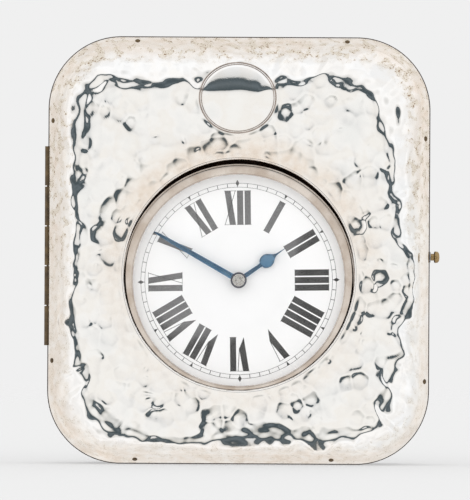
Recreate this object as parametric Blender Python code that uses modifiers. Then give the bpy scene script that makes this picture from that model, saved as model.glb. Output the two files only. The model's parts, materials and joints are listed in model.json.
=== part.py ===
"""Goliath pocket watch in a silver-fronted travelling case.

The case stands on its flat bottom edge. X runs to the right, Z up, and -Y is the front,
so the dial faces -Y. The plane y = 0 holds the axis of the winding stem, and the origin
is the middle of the resting edge. Every length is in metres.
"""

from math import asin, atan2, cos, hypot, pi, sin, sqrt, tau

import bmesh
import bpy
from mathutils import Matrix, Vector

# Clearances and shared settings
CLEAR = 0.0003
RUNNING_FIT = 0.00015
OVERRUN = 0.002
MERGE_DISTANCE = 0.00001
FILL_SCALE = 1000
ROUND_STEPS = 36
MEDIUM_ROUND_STEPS = 24
SMALL_ROUND_STEPS = 12
FACET_TURN = 0.037 * pi
FLAT_ANGLE = 0.001 * pi

# Travelling case: its outer size is the watch's recess with a wall on each side
SIDE_WALL = 0.0155
BOTTOM_WALL = 0.0137
TOP_WALL = 0.0048594
CASE_CORNER = 0.0193
CORNER_STEPS = 7
WATCH_TO_SILVER = 0.0027
LEATHER_THICKNESS = 0.0009
LEATHER_BACK_ROUNDING = 0.0012
TRAY_FLOOR = 0.0036
LINING_THICKNESS = 0.0006

# Silver front: from the outline inwards the sheet rises to a nearly flat field
SILVER_INSET = 0.0003
SILVER_THICKNESS = 0.0005
SILVER_RIM_WIDTH = 0.014
SILVER_RISE = 0.0104
SILVER_RIM_SHARES = ((0, 0), (0.171, 0.49), (0.357, 0.708), (0.571, 0.881), (0.786, 0.969), (1, 1))
APERTURE_MARGIN = 0.0025
APERTURE_X = 0.0003
APERTURE_RISE = 0.0014
APERTURE_STEPS = 48
LIP_DEPTH = 0.0015
LIP_BACKSET = 0.00075
COVER_LINING_INSET = 0.0062

# Silver pins that hold the sheet, as shares of the case width or height from the bottom left
PIN_INSET = 0.0009
PIN_HEAD_RADIUS = 0.00062
PIN_HEAD_RISE = 0.00035
PIN_HEAD_SHARES = ((0, 1), (0.6, 0.8), (1, 0))
PIN_SHANK_RADIUS = 0.0003
PIN_LENGTH = 0.004
PIN_SEAT = 0.0001
PIN_STEPS = 8
PIN_TOP_SHARES = (0.233, 0.781)
PIN_BOTTOM_SHARES = (0.231, 0.744)
PIN_LEFT_SHARES = (0.241, 0.801)
PIN_RIGHT_SHARES = (0.196, 0.763)

# Cover hinge on the left side
HINGE_INSET = 0.0001
HINGE_RISE = 0.001
HINGE_LENGTH = 0.0524
HINGE_RADIUS = 0.00095
HINGE_LEAF_WIDTH = 0.005
HINGE_LEAF_THICKNESS = 0.0008
HINGE_PIN_RADIUS = 0.00042
HINGE_KNUCKLES = 5

# Push-button catch on the right side
BUTTON_DROP = 0.0015
BUTTON_SETBACK = 0.003
BUTTON_HEAD_RADIUS = 0.00155
BUTTON_HEAD_LENGTH = 0.00135
BUTTON_HEAD_SHARES = ((0, 1), (0.55, 0.9), (0.9, 0.6), (1, 0.25), (0.9, 0))
BUTTON_STEM_RADIUS = 0.0009
BUTTON_TRAVEL = 0.0007
COLLAR_RADIUS = 0.0014
COLLAR_STAND = 0.0003
CATCH_BAR_INSET = 0.0065
CATCH_BAR_THICKNESS = 0.0013
CATCH_BAR_HEIGHT = 0.005
CATCH_REACH = 0.0023
CATCH_NOSE = 0.0007
CATCH_POCKET_WIDTH = 0.0036
CATCH_SPRING_RADIUS = 0.0012
CATCH_SPRING_WIRE = 0.00022
CATCH_SPRING_TURNS = 3
CATCH_SPRING_STEPS = 10
STRIKE_THICKNESS = 0.0006
STRIKE_BORDER = 0.0016

# Easel strut on the back
STRUT_THICKNESS = 0.0024
STRUT_TOP_WIDTH = 0.03
STRUT_FOOT_WIDTH = 0.042
STRUT_HINGE_DROP = 0.0201
STRUT_FOOT_Z = 0.008
STRUT_CORNER = 0.008
STRUT_LEAF_THICKNESS = 0.0006
STRUT_LEAF_WIDTH = 0.007
STRUT_HINGE_LENGTH = 0.026
STRUT_PIN_RADIUS = 0.0006
STRUT_KNUCKLES = 3

# Watch case
BAND_RADIUS = 0.0332
BAND_WALL = 0.003
BAND_HALF_DEPTH = 0.005
BAND_CROWNING = 0.0006
BAND_FLAT_SHARE = 0.6
WATCH_SHAKE = 0.0007
BEZEL_HEIGHT = 0.0086
BEZEL_LEDGE = 0.0002
BEZEL_FRONT_SHARES = ((0, 0.03), (0.15, 0), (0.45, 0.04), (0.8, 0.22), (1, 0.65))
CRYSTAL_LEDGE = 0.0014
CRYSTAL_SEAT = 0.00085
CRYSTAL_THICKNESS = 0.0011
CRYSTAL_RISE = 0.0014
DOME_RINGS = 2
DIAL_GAP = 0.0016
DIAL_THICKNESS = 0.001
DIAL_BORE = 0.0019
DIAL_FRONT = 0.0097
BACK_COVER_THICKNESS = 0.0006
BACK_COVER_DOME = 0.0018
DUST_COVER_THICKNESS = 0.0004

# Pendant, crown and bow
PENDANT_BASE_RADIUS = 0.0042
PENDANT_NECK_RADIUS = 0.003
PENDANT_LENGTH = 0.0075
PENDANT_BORE = 0.0012
PENDANT_FLARE_SHARE = 0.3
CROWN_RADIUS = 0.0052
CROWN_LENGTH = 0.0058
CROWN_DOME = 0.0009
CROWN_DOME_SHARES = ((0, 1), (0.6, 0.75), (1, 0), (1, -1), (0, -1))
CROWN_FLUTES = 26
CROWN_FLUTE_DEPTH = 0.0003
CROWN_SOCKET = 0.0036
CROWN_SINK = 0.0004
STEM_RADIUS = 0.0009
STEM_TAIL = 0.0021
WINDING_PINION_RADIUS = 0.002
WINDING_PINION_LENGTH = 0.0036
BOW_HALF_WIDTH = 0.0088
BOW_HALF_HEIGHT = 0.0094
BOW_WIRE_RADIUS = 0.001
BOW_OPENING_ANGLE = pi / 6
BOW_STEPS = 26
BOW_PIVOT_DROP = 0.0021
BOW_PIVOT_RADIUS = 0.0005
BOW_PIVOT_ENTRY = 0.0011
POCKET_SIDE_CLEARANCE = 0.0014
POCKET_CLEARANCE = 0.0009

# Movement plates, from the dial backwards
PLATE_GAP = 0.0006
MAIN_PLATE_FRONT = -0.0061
MAIN_PLATE_THICKNESS = 0.0018
TOP_PLATE_GAP = 0.0016
TOP_PLATE_FRONT = 0.0005
TOP_PLATE_THICKNESS = 0.0014
PILLAR_RADIUS = 0.0014
PILLAR_INSET = 0.0021
PILLAR_ANGLES = (0.5 * pi, 1.1 * pi, 1.61 * pi)
PIVOT_REACH = 0.0009

# Going train: tooth counts, tooth modules and the levels of each wheel
BARREL_TEETH = 64
CENTRE_LEAVES = 8
BARREL_MODULE = 0.000375
BARREL_DIRECTION = 0.222 * pi
BARREL_FRONT = -0.004
BARREL_TOOTH_DEPTH = 0.0006
BARREL_DRUM_RADIUS = 0.0111
BARREL_HEIGHT = 0.0026
BARREL_WALL = 0.0004
BARREL_BORE = 0.0015
BARREL_ARBOR_RADIUS = 0.0012
CENTRE_TEETH = 48
CENTRE_MODULE = 0.000333
CENTRE_FRONT = -0.0011
CENTRE_ARBOR_RADIUS = 0.00045
THIRD_LEAVES = 6
THIRD_TEETH = 45
THIRD_MODULE = 0.000293
THIRD_DIRECTION = 1.389 * pi
THIRD_FRONT = -0.0027
FOURTH_LEAVES = 6
FOURTH_TEETH = 60
FOURTH_MODULE = 0.00021
FOURTH_DIRECTION = 0.944 * pi
FOURTH_FRONT = -0.0039
ESCAPE_LEAVES = 6
ESCAPE_DIRECTION = 0.722 * pi
ESCAPE_FRONT = -0.0012
ESCAPE_TEETH = 15
ESCAPE_RADIUS = 0.005
ESCAPE_TOOTH_DEPTH = 0.0011
ESCAPE_TOOTH_SHARES = ((1, -0.3), (0, 0), (0, 0.12), (1, 0.05))
TRAIN_WHEEL_THICKNESS = 0.00045
PINION_LENGTH = 0.0011
ARBOR_RADIUS = 0.0004
WHEEL_ARMS = 4
WHEEL_ARM_TURN = 0.1 * pi
WHEEL_RIM = 0.0009
WHEEL_HUB = 0.0018
WHEEL_ARM_WIDTH = 0.0009

# Escapement and balance
PALLET_DIRECTION = 0.417 * pi
PALLET_SPAN_RADIUS = 0.0028
PALLET_STONE_CLEARANCE = 0.0006
PALLET_BACK = 0.0003
PALLET_LEVER = 0.0046
PALLET_LEVER_HALF_WIDTH = 0.00035
PALLET_FORK_HALF_WIDTH = 0.0009
PALLET_THICKNESS = 0.0006
BALANCE_DISTANCE = 0.0066
BALANCE_RADIUS = 0.0085
BALANCE_RIM = 0.0009
BALANCE_FRONT = 0.0022
BALANCE_THICKNESS = 0.0007
ROLLER_RADIUS = 0.0016
ROLLER_FRONT = -0.0005
ROLLER_THICKNESS = 0.0004
ROLLER_PIN_CIRCLE = 0.0013
ROLLER_PIN_RADIUS = 0.00025
ROLLER_PIN_LENGTH = 0.0006
HAIRSPRING_Y = 0.00325
HAIRSPRING_WIRE = 0.00012
HAIRSPRING_INNER = 0.0009
HAIRSPRING_OUTER = 0.0042
HAIRSPRING_TURNS = 4
MAINSPRING_INNER = 0.0022
MAINSPRING_OUTER = 0.0103
MAINSPRING_TURNS = 5
MAINSPRING_HEIGHT = 0.0012
MAINSPRING_THICKNESS = 0.0002
SPIRAL_STEPS = 12
COCK_RADIUS = 0.0032
COCK_FRONT = 0.0036
COCK_THICKNESS = 0.0009
COCK_FOOT_DISTANCE = 0.012
COCK_FOOT_DIRECTION = 0.333 * pi

# Winding work on the back of the movement
RATCHET_TEETH = 36
CROWN_WHEEL_TEETH = 21
WINDING_PINION_LEAVES = 9
WINDING_MODULE = 0.000467
WINDING_FRONT = 0.0023
WINDING_THICKNESS = 0.0006

# Motion work under the dial, and the hands
CANNON_LEAVES = 10
MINUTE_TEETH = 30
MOTION_MODULE = 0.0003
MOTION_DIRECTION = 1.833 * pi
MINUTE_LEAVES = 8
HOUR_TEETH = 32
CANNON_FRONT = -0.0072
CANNON_LEAF_LENGTH = 0.0008
CANNON_RADIUS = 0.0009
MINUTE_WHEEL_FRONT = -0.007
MINUTE_WHEEL_THICKNESS = 0.0004
HOUR_WHEEL_FRONT = -0.0084
HOUR_WHEEL_THICKNESS = 0.0005
HOUR_PIPE_RADIUS = 0.00135
STUD_RADIUS = 0.0005
MINUTE_HAND_FRONT = -0.0119
HOUR_HAND_FRONT = -0.0111
HAND_THICKNESS = 0.0003
MINUTE_HAND_GAP = 0.00205
MINUTE_HAND_ROOT = 0.00075
MINUTE_HAND_TIP = 0.0002
MINUTE_HAND_POINT_SHARE = 0.97
MINUTE_BOSS_RADIUS = 0.00165
MINUTE_HAND_ANGLE = 1.6644 * pi
HOUR_HAND_LENGTH = 0.0147
HOUR_HAND_STEM = 0.0006
HOUR_HAND_NECK_SHARE = 0.75
HOUR_BOSS_RADIUS = 0.0021
HOUR_MOON_DISTANCE = 0.0092
HOUR_MOON_RADIUS = 0.00195
HOUR_SPEAR_HALF_WIDTH = 0.00045
HOUR_HAND_ANGLE = 0.3072 * pi

# Shape of a gear tooth: heights in modules, half widths in tooth pitches
WHEEL_TOOTH_SHARES = (0.9, 0.95, 0, 0.195)
LEAF_TOOTH_SHARES = (0.7, 1.0, 0.075, 0.165)

# Sizes and places worked out from the sizes above
BAND_BORE = BAND_RADIUS - BAND_WALL
BEZEL_INNER = BAND_BORE - BEZEL_LEDGE
DIAL_RADIUS = BEZEL_INNER - DIAL_GAP
CRYSTAL_RADIUS = BEZEL_INNER - CRYSTAL_LEDGE
BEZEL_OPENING = CRYSTAL_RADIUS - CRYSTAL_SEAT
MINUTE_HAND_LENGTH = BEZEL_OPENING - MINUTE_HAND_GAP
PLATE_RADIUS = BAND_BORE - PLATE_GAP
TOP_PLATE_RADIUS = BAND_BORE - TOP_PLATE_GAP
PILLAR_CIRCLE = TOP_PLATE_RADIUS - PILLAR_INSET
WINDING_PINION_FOOT = TOP_PLATE_RADIUS - WINDING_PINION_LENGTH - CLEAR
STEM_INNER_END = WINDING_PINION_FOOT - STEM_TAIL
RECESS_RADIUS = BAND_RADIUS + WATCH_SHAKE + LINING_THICKNESS + CLEAR
WATCH_Z = BOTTOM_WALL + RECESS_RADIUS
CASE_WIDTH = 2 * (RECESS_RADIUS + SIDE_WALL)
APERTURE_RADIUS = BEZEL_OPENING + APERTURE_MARGIN
APERTURE_Z = WATCH_Z + APERTURE_RISE
PARTING_Y = -(CROWN_RADIUS + CROWN_SINK)
TRAY_FACE_Y = PARTING_Y + CLEAR / 2
COVER_FACE_Y = PARTING_Y - CLEAR / 2
CRYSTAL_EDGE_Y = -(BAND_HALF_DEPTH + BEZEL_HEIGHT)
FIELD_Y = CRYSTAL_EDGE_Y - CRYSTAL_RISE - WATCH_TO_SILVER
WATCH_BACK_Y = BAND_HALF_DEPTH + CLEAR + BACK_COVER_DOME + BACK_COVER_THICKNESS
RECESS_FLOOR_Y = WATCH_BACK_Y + LINING_THICKNESS + 2 * CLEAR
CASE_BACK_Y = RECESS_FLOOR_Y + TRAY_FLOOR
TRAY_BACK_Y = CASE_BACK_Y + LEATHER_THICKNESS + CLEAR
PENDANT_FOOT_Z = WATCH_Z + BAND_RADIUS + CLEAR
PENDANT_TOP_Z = PENDANT_FOOT_Z + PENDANT_LENGTH
CROWN_FOOT_Z = PENDANT_TOP_Z + CLEAR
BOW_PIVOT_Z = PENDANT_TOP_Z - BOW_PIVOT_DROP
BOW_CENTRE_Z = BOW_PIVOT_Z + BOW_HALF_HEIGHT * cos(BOW_OPENING_ANGLE)
BOW_TOP_Z = BOW_CENTRE_Z + BOW_HALF_HEIGHT + BOW_WIRE_RADIUS
POCKET_TOP_Z = BOW_TOP_Z + POCKET_CLEARANCE + LINING_THICKNESS + CLEAR
POCKET_HALF_WIDTH = BOW_HALF_WIDTH + BOW_WIRE_RADIUS + POCKET_SIDE_CLEARANCE
CASE_HEIGHT = POCKET_TOP_Z + TOP_WALL
HINGE_X = HINGE_INSET - CASE_WIDTH / 2
HINGE_CENTRE_Z = CASE_HEIGHT / 2 + HINGE_RISE
BUTTON_Y = PARTING_Y + BUTTON_SETBACK
BUTTON_Z = CASE_HEIGHT / 2 - BUTTON_DROP
CATCH_BAR_X = CASE_WIDTH / 2 - CATCH_BAR_INSET
STRUT_HINGE_Z = CASE_HEIGHT - STRUT_HINGE_DROP
STRUT_RADIUS = (STRUT_THICKNESS + CLEAR + STRUT_LEAF_THICKNESS) / 2
STRUT_HINGE_Y = TRAY_BACK_Y + CLEAR + STRUT_RADIUS
MAIN_PLATE_BACK = MAIN_PLATE_FRONT + MAIN_PLATE_THICKNESS
TOP_PLATE_BACK = TOP_PLATE_FRONT + TOP_PLATE_THICKNESS
TRAIN_FRONT = MAIN_PLATE_BACK - PIVOT_REACH
TRAIN_BACK = TOP_PLATE_FRONT + PIVOT_REACH
WINDING_BACK = WINDING_FRONT + WINDING_THICKNESS

# Directions of an object's local axes: the front faces out along local +Z
FACING_FRONT = Matrix.Rotation(pi / 2, 3, "X")
ALONG_X = Matrix.Rotation(pi / 2, 3, "Y")
UPRIGHT = Matrix.Identity(3)

LEATHER = ("leather", (0.055, 0.03, 0.022), 0.55, 0.0)
WOOD = ("wood", (0.2, 0.1, 0.05), 0.5, 0.0)
VELVET = ("velvet", (0.03, 0.04, 0.12), 0.95, 0.0)
SILVER = ("silver", (0.9, 0.89, 0.86), 0.16, 1.0)
NICKEL = ("nickel", (0.72, 0.7, 0.68), 0.2, 1.0)
GILT = ("gilt_brass", (0.83, 0.62, 0.28), 0.28, 1.0)
BRASS = ("brass", (0.7, 0.52, 0.25), 0.35, 1.0)
STEEL = ("steel", (0.5, 0.5, 0.52), 0.3, 1.0)
BLUED_STEEL = ("blued_steel", (0.035, 0.06, 0.16), 0.25, 1.0)
ENAMEL = ("enamel", (0.93, 0.92, 0.9), 0.12, 0.0)
GLASS = ("glass", (0.95, 0.97, 0.98), 0.03, 0.0)


def clear_scene():
    for item in list(bpy.data.objects):
        bpy.data.objects.remove(item, do_unlink=True)


def new_collection(name):
    collection = bpy.data.collections.new(name)
    bpy.context.scene.collection.children.link(collection)
    return collection


def finish_material(finish):
    name, colour, roughness, metallic = finish
    material = bpy.data.materials.get(name) or bpy.data.materials.new(name)
    material.use_nodes = True
    shader = material.node_tree.nodes["Principled BSDF"]
    shader.inputs["Base Color"].default_value = (*colour, 1)
    shader.inputs["Roughness"].default_value = roughness
    shader.inputs["Metallic"].default_value = metallic
    return material


def place(item, location, axes):
    item.matrix_world = Matrix.Translation(location) @ axes.to_4x4()


def add_part(name, mesh, finish, location=(0, 0, 0), axes=UPRIGHT):
    """A named piece of the object, in its own material."""
    mesh.materials.clear()
    mesh.materials.append(finish_material(finish))
    item = bpy.data.objects.new(name, mesh)
    PARTS.objects.link(item)
    place(item, location, axes)
    return item


def add_cutter(name, mesh, location=(0, 0, 0), axes=UPRIGHT):
    """A hidden shape that a Boolean joins to a piece or takes from it."""
    item = bpy.data.objects.new(name, mesh)
    CUTTERS.objects.link(item)
    item.hide_render = True
    item.display_type = "WIRE"
    place(item, location, axes)
    return item


def combine(target, operands, operation):
    for operand in operands:
        step = target.modifiers.new(operand.name, "BOOLEAN")
        step.operation = operation
        step.object = operand
    return target


def shade_round(item):
    item.data.shade_smooth()
    item.data.set_sharp_from_angle(angle=pi / 6)
    return item


def weld(mesh, distance=MERGE_DISTANCE):
    shape = bmesh.new()
    shape.from_mesh(mesh)
    bmesh.ops.remove_doubles(shape, verts=shape.verts, dist=distance)
    shape.to_mesh(mesh)
    shape.free()
    return mesh


def curve_to_mesh(name, curve):
    """The evaluated mesh of a curve, with its caps welded on."""
    source = bpy.data.objects.new(name, curve)
    CUTTERS.objects.link(source)
    bpy.context.view_layer.update()
    graph = bpy.context.evaluated_depsgraph_get()
    mesh = bpy.data.meshes.new_from_object(source.evaluated_get(graph))
    bpy.data.objects.remove(source)
    return weld(mesh)


def join_flat_faces(mesh):
    """Joins a filled shape's triangles, so that later cuts stay simple."""
    shape = bmesh.new()
    shape.from_mesh(mesh)
    bmesh.ops.dissolve_limit(
        shape, angle_limit=FLAT_ANGLE, use_dissolve_boundaries=False, verts=shape.verts, edges=shape.edges
    )
    shape.to_mesh(mesh)
    shape.free()
    return mesh


def flat_mesh(name, loops, depth):
    """A plate in the local XY plane, half its depth each side. Later loops are holes.

    The curve is drawn larger by FILL_SCALE, because filling merges points closer than
    about 0.03 mm, and brought back to size as a mesh.
    """
    curve = bpy.data.curves.new(name, "CURVE")
    curve.dimensions = "2D"
    curve.fill_mode = "BOTH"
    curve.resolution_u = 1
    curve.extrude = depth * FILL_SCALE / 2
    for loop in loops:
        spline = curve.splines.new("POLY")
        spline.points.add(len(loop) - 1)
        for point, (x, y) in zip(spline.points, loop):
            point.co = (x * FILL_SCALE, y * FILL_SCALE, 0, 1)
        spline.use_cyclic_u = True
    mesh = join_flat_faces(curve_to_mesh(name, curve))
    mesh.transform(Matrix.Scale(1 / FILL_SCALE, 4))
    return mesh


def turned_mesh(name, profile, closed, steps=ROUND_STEPS):
    """A turned solid about local Z. The profile's (radius, height) run down its outer side."""
    mesh = bpy.data.meshes.new(name)
    shape = bmesh.new()
    points = [shape.verts.new((radius, 0, height)) for radius, height in profile]
    for start, end in zip(points, points[1:]):
        shape.edges.new((start, end))
    if closed:
        shape.edges.new((points[-1], points[0]))
    shape.to_mesh(mesh)
    shape.free()
    source = bpy.data.objects.new(name, mesh)
    CUTTERS.objects.link(source)
    screw = source.modifiers.new("Turn", "SCREW")
    screw.axis = "Z"
    screw.steps = steps
    screw.render_steps = steps
    screw.use_merge_vertices = True
    screw.merge_threshold = MERGE_DISTANCE
    bpy.context.view_layer.update()
    graph = bpy.context.evaluated_depsgraph_get()
    solid = bpy.data.meshes.new_from_object(source.evaluated_get(graph))
    bpy.data.objects.remove(source)
    return weld(solid)


def cylinder_mesh(name, radius, start, end, steps=SMALL_ROUND_STEPS):
    """A cylinder about local Z between two heights."""
    mesh = bpy.data.meshes.new(name)
    shape = bmesh.new()
    middle = Matrix.Translation((0, 0, (start + end) / 2)) @ Matrix.Rotation(FACET_TURN, 4, "Z")
    bmesh.ops.create_cone(
        shape,
        cap_ends=True,
        segments=steps,
        radius1=radius,
        radius2=radius,
        depth=abs(end - start),
        matrix=middle,
    )
    shape.to_mesh(mesh)
    shape.free()
    return mesh


def box_mesh(name, low, high):
    mesh = bpy.data.meshes.new(name)
    shape = bmesh.new()
    low, high = Vector(low), Vector(high)
    size = Matrix.Diagonal((*(high - low), 1))
    bmesh.ops.create_cube(shape, size=1, matrix=Matrix.Translation((low + high) / 2) @ size)
    shape.to_mesh(mesh)
    shape.free()
    return mesh


def polar(radius, angle, centre=(0, 0)):
    """A point at a clockwise angle from twelve o'clock, seen from the front."""
    return centre[0] + radius * sin(angle), centre[1] + radius * cos(angle)


def circle(radius, steps=ROUND_STEPS, centre=(0, 0)):
    return [polar(radius, FACET_TURN + tau * step / steps, centre) for step in range(steps)]


def arc(radius, start, end, steps, centre=(0, 0)):
    return [polar(radius, start + (end - start) * step / steps, centre) for step in range(steps + 1)]


def rounded_outline(width, height, corner, centre_y=0):
    """A rectangle with round corners about (0, centre_y), clockwise from the top right."""
    points = []
    signs = ((1, 1), (1, -1), (-1, -1), (-1, 1))
    for quarter, (side, end) in enumerate(signs):
        middle = (side * (width / 2 - corner), centre_y + end * (height / 2 - corner))
        start = quarter * pi / 2
        points += arc(corner, start, start + pi / 2, CORNER_STEPS, middle)
    return points


def case_outline(inset):
    """The case's outline seen from the front, moved in by an inset."""
    return rounded_outline(
        CASE_WIDTH - 2 * inset, CASE_HEIGHT - 2 * inset, CASE_CORNER - inset, CASE_HEIGHT / 2
    )


def ringed_mesh(name, rings, cap_first, cap_last):
    """A loft through case outlines, given as (inset, y) from the back to the front."""
    mesh = bpy.data.meshes.new(name)
    shape = bmesh.new()
    loops = []
    for inset, y in rings:
        loops.append([shape.verts.new((x, y, z)) for x, z in case_outline(inset)])
    for behind, ahead in zip(loops, loops[1:]):
        for start in range(-1, len(behind) - 1):
            shape.faces.new((behind[start], ahead[start], ahead[start + 1], behind[start + 1]))
    if cap_first:
        shape.faces.new(loops[0])
    if cap_last:
        shape.faces.new(reversed(loops[-1]))
    shape.to_mesh(mesh)
    shape.free()
    return mesh


def front_tool(name, loops, front, back):
    """A flat cutter that faces the front, between two depths."""
    middle = (0, (front + back) / 2, 0)
    return add_cutter(name, flat_mesh(name, loops, back - front), middle, FACING_FRONT)


def front_rod(name, centre, radius, front, back, steps=SMALL_ROUND_STEPS):
    """A round cutter or boss along Y at (x, z)."""
    mesh = cylinder_mesh(name, radius, -back, -front, steps)
    return add_cutter(name, mesh, (centre[0], 0, centre[1]), FACING_FRONT)


def add_plate(name, loops, finish, centre, front, thickness):
    """A flat piece that faces the front, with its origin on its own axis at (x, z)."""
    mesh = flat_mesh(name, loops, thickness)
    location = (centre[0], front + thickness / 2, centre[1])
    return add_part(name, mesh, finish, location, FACING_FRONT)


def add_turned(name, profile, finish, closed, centre=None, steps=ROUND_STEPS):
    """A piece turned about Y at (x, z), from (radius, y) points that run from front to back."""
    x, z = centre or (0, WATCH_Z)
    mesh = turned_mesh(name, [(radius, -y) for radius, y in profile], closed, steps)
    return shade_round(add_part(name, mesh, finish, (x, 0, z), FACING_FRONT))


def ring_profile(inner, outer, front, back):
    return [(outer, front), (outer, back), (inner, back), (inner, front)]


# Travelling case


def offset_rim(distance):
    """The silver's rim as (inset, y), moved in square to itself by a distance."""
    points = [
        (SILVER_INSET + SILVER_RIM_WIDTH * inset, FIELD_Y + SILVER_RISE * (1 - rise))
        for inset, rise in SILVER_RIM_SHARES
    ]
    slopes = [atan2(a[1] - b[1], b[0] - a[0]) for a, b in zip(points, points[1:])]
    slopes = [slopes[0], *slopes, 0]
    moved = []
    for (inset, y), before, after in zip(points, slopes, slopes[1:]):
        half_turn = (before - after) / 2
        tilt = (before + after) / 2
        reach = distance / cos(half_turn)
        moved.append((inset + reach * sin(tilt), y + reach * cos(tilt)))
    return moved


def aperture_tool(name, radius, front, back):
    outline = circle(radius, APERTURE_STEPS, (APERTURE_X, APERTURE_Z))
    return front_tool(name, [outline], front, back)


def make_silver_front():
    mesh = ringed_mesh("silver_front", offset_rim(0), False, True)
    front = add_part("silver_front", mesh, SILVER)
    skin = front.modifiers.new("Sheet", "SOLIDIFY")
    skin.thickness = SILVER_THICKNESS
    skin.offset = -1
    skin.use_even_offset = True
    hole = aperture_tool("silver_aperture", APERTURE_RADIUS, FIELD_Y - OVERRUN, FIELD_Y + OVERRUN)
    return combine(shade_round(front), [hole], "DIFFERENCE")


def make_cover_frame():
    """The wooden frame that backs the silver, with a ledge under the silver's edge."""
    under = offset_rim(SILVER_THICKNESS + CLEAR)
    ledge_y = FIELD_Y + SILVER_RISE + CLEAR
    rings = [(SILVER_INSET, COVER_FACE_Y), (SILVER_INSET, ledge_y), (under[0][0], ledge_y), *under[1:]]
    frame = add_part("cover_frame", ringed_mesh("cover_frame", rings, True, True), WOOD)
    lip_back = FIELD_Y + SILVER_THICKNESS + CLEAR + LIP_DEPTH
    around_watch = circle(RECESS_RADIUS, APERTURE_STEPS, (0, WATCH_Z))
    watch_room = front_tool("watch_room", [around_watch], lip_back, COVER_FACE_Y + OVERRUN)
    window = aperture_tool(
        "frame_window", APERTURE_RADIUS + LIP_BACKSET, FIELD_Y - OVERRUN, lip_back + OVERRUN
    )
    rebate_depth = LINING_THICKNESS + 2 * CLEAR
    rebate = front_tool(
        "lining_rebate",
        [case_outline(COVER_LINING_INSET - CLEAR)],
        COVER_FACE_Y - rebate_depth,
        COVER_FACE_Y + OVERRUN,
    )
    return combine(frame, [watch_room, window, rebate], "DIFFERENCE")


def make_cover_lining():
    loops = [case_outline(COVER_LINING_INSET), circle(RECESS_RADIUS + CLEAR, APERTURE_STEPS, (0, WATCH_Z))]
    back = COVER_FACE_Y - CLEAR
    return add_plate("cover_lining", loops, VELVET, (0, 0), back - LINING_THICKNESS, LINING_THICKNESS)


def pin_places():
    """(name, x, z, outward direction) of the pins, on the straight stretches of the edge."""
    near = SILVER_INSET + PIN_INSET
    right, top = CASE_WIDTH / 2 - near, CASE_HEIGHT - near
    rows = (
        ("top", PIN_TOP_SHARES, lambda share: (CASE_WIDTH * share - CASE_WIDTH / 2, top), (0, 1)),
        ("bottom", PIN_BOTTOM_SHARES, lambda share: (CASE_WIDTH * share - CASE_WIDTH / 2, near), (0, -1)),
        ("left", PIN_LEFT_SHARES, lambda share: (-right, CASE_HEIGHT * share), (-1, 0)),
        ("right", PIN_RIGHT_SHARES, lambda share: (right, CASE_HEIGHT * share), (1, 0)),
    )
    for side, shares, spot, outward in rows:
        for number, share in enumerate(shares, 1):
            yield f"silver_pin_{side}_{number}", *spot(share), outward


def make_silver_pins(silver, frame):
    (inset, foot), (next_inset, next_y) = offset_rim(0)[:2]
    steepness = atan2(foot - next_y, next_inset - inset)
    y = foot - PIN_INSET * (foot - next_y) / (next_inset - inset)
    profile = [(PIN_HEAD_RADIUS * out, PIN_SEAT + PIN_HEAD_RISE * up) for out, up in PIN_HEAD_SHARES]
    profile += [
        (PIN_SHANK_RADIUS, PIN_SEAT),
        (PIN_SHANK_RADIUS, -PIN_LENGTH),
        (0, -PIN_LENGTH),
    ]
    head = turned_mesh("silver_pin", profile, False, PIN_STEPS)
    drilled = PIN_SHANK_RADIUS + RUNNING_FIT
    hole = cylinder_mesh("pin_hole", drilled, -PIN_LENGTH - CLEAR, OVERRUN, PIN_STEPS)
    for name, x, z, outward in pin_places():
        normal = Vector((outward[0] * sin(steepness), -cos(steepness), outward[1] * sin(steepness)))
        axes = normal.to_track_quat("Z", "Y").to_matrix()
        shade_round(add_part(name, head.copy(), SILVER, (x, y, z), axes))
        drill = add_cutter(name + "_hole", hole, (x, y, z), axes)
        combine(silver, [drill], "DIFFERENCE")
        combine(frame, [drill], "DIFFERENCE")


def recess_outline(radius, half_width, top):
    """The watch's circle joined to a round-ended pocket for its pendant and bow."""
    meet = asin(half_width / radius)
    around = arc(radius, meet, tau - meet, ROUND_STEPS, (0, WATCH_Z))
    over = arc(half_width, -pi / 2, pi / 2, CORNER_STEPS, (0, top - half_width))
    return around + over


def make_tray_leather():
    start = CASE_BACK_Y + CLEAR - LEATHER_BACK_ROUNDING
    rings = [(LEATHER_BACK_ROUNDING, TRAY_BACK_Y), (0, start), (0, TRAY_FACE_Y)]
    mesh = ringed_mesh("tray_leather", rings, True, False)
    leather = add_part("tray_leather", mesh, LEATHER)
    skin = leather.modifiers.new("Leather", "SOLIDIFY")
    skin.thickness = LEATHER_THICKNESS
    skin.offset = -1
    skin.use_even_offset = True
    return shade_round(leather)


def make_tray_body():
    """The wooden tray, with the recess that holds the watch."""
    edge = LEATHER_THICKNESS + CLEAR
    rounding = LEATHER_BACK_ROUNDING
    rings = [(edge + rounding, CASE_BACK_Y), (edge, CASE_BACK_Y - rounding), (edge, TRAY_FACE_Y)]
    body = add_part("tray_body", ringed_mesh("tray_body", rings, True, True), WOOD)
    outline = recess_outline(
        RECESS_RADIUS, POCKET_HALF_WIDTH + LINING_THICKNESS + CLEAR, POCKET_TOP_Z
    )
    recess = front_tool("watch_recess", [outline], TRAY_FACE_Y - OVERRUN, RECESS_FLOOR_Y)
    return combine(body, [recess], "DIFFERENCE")


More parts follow.
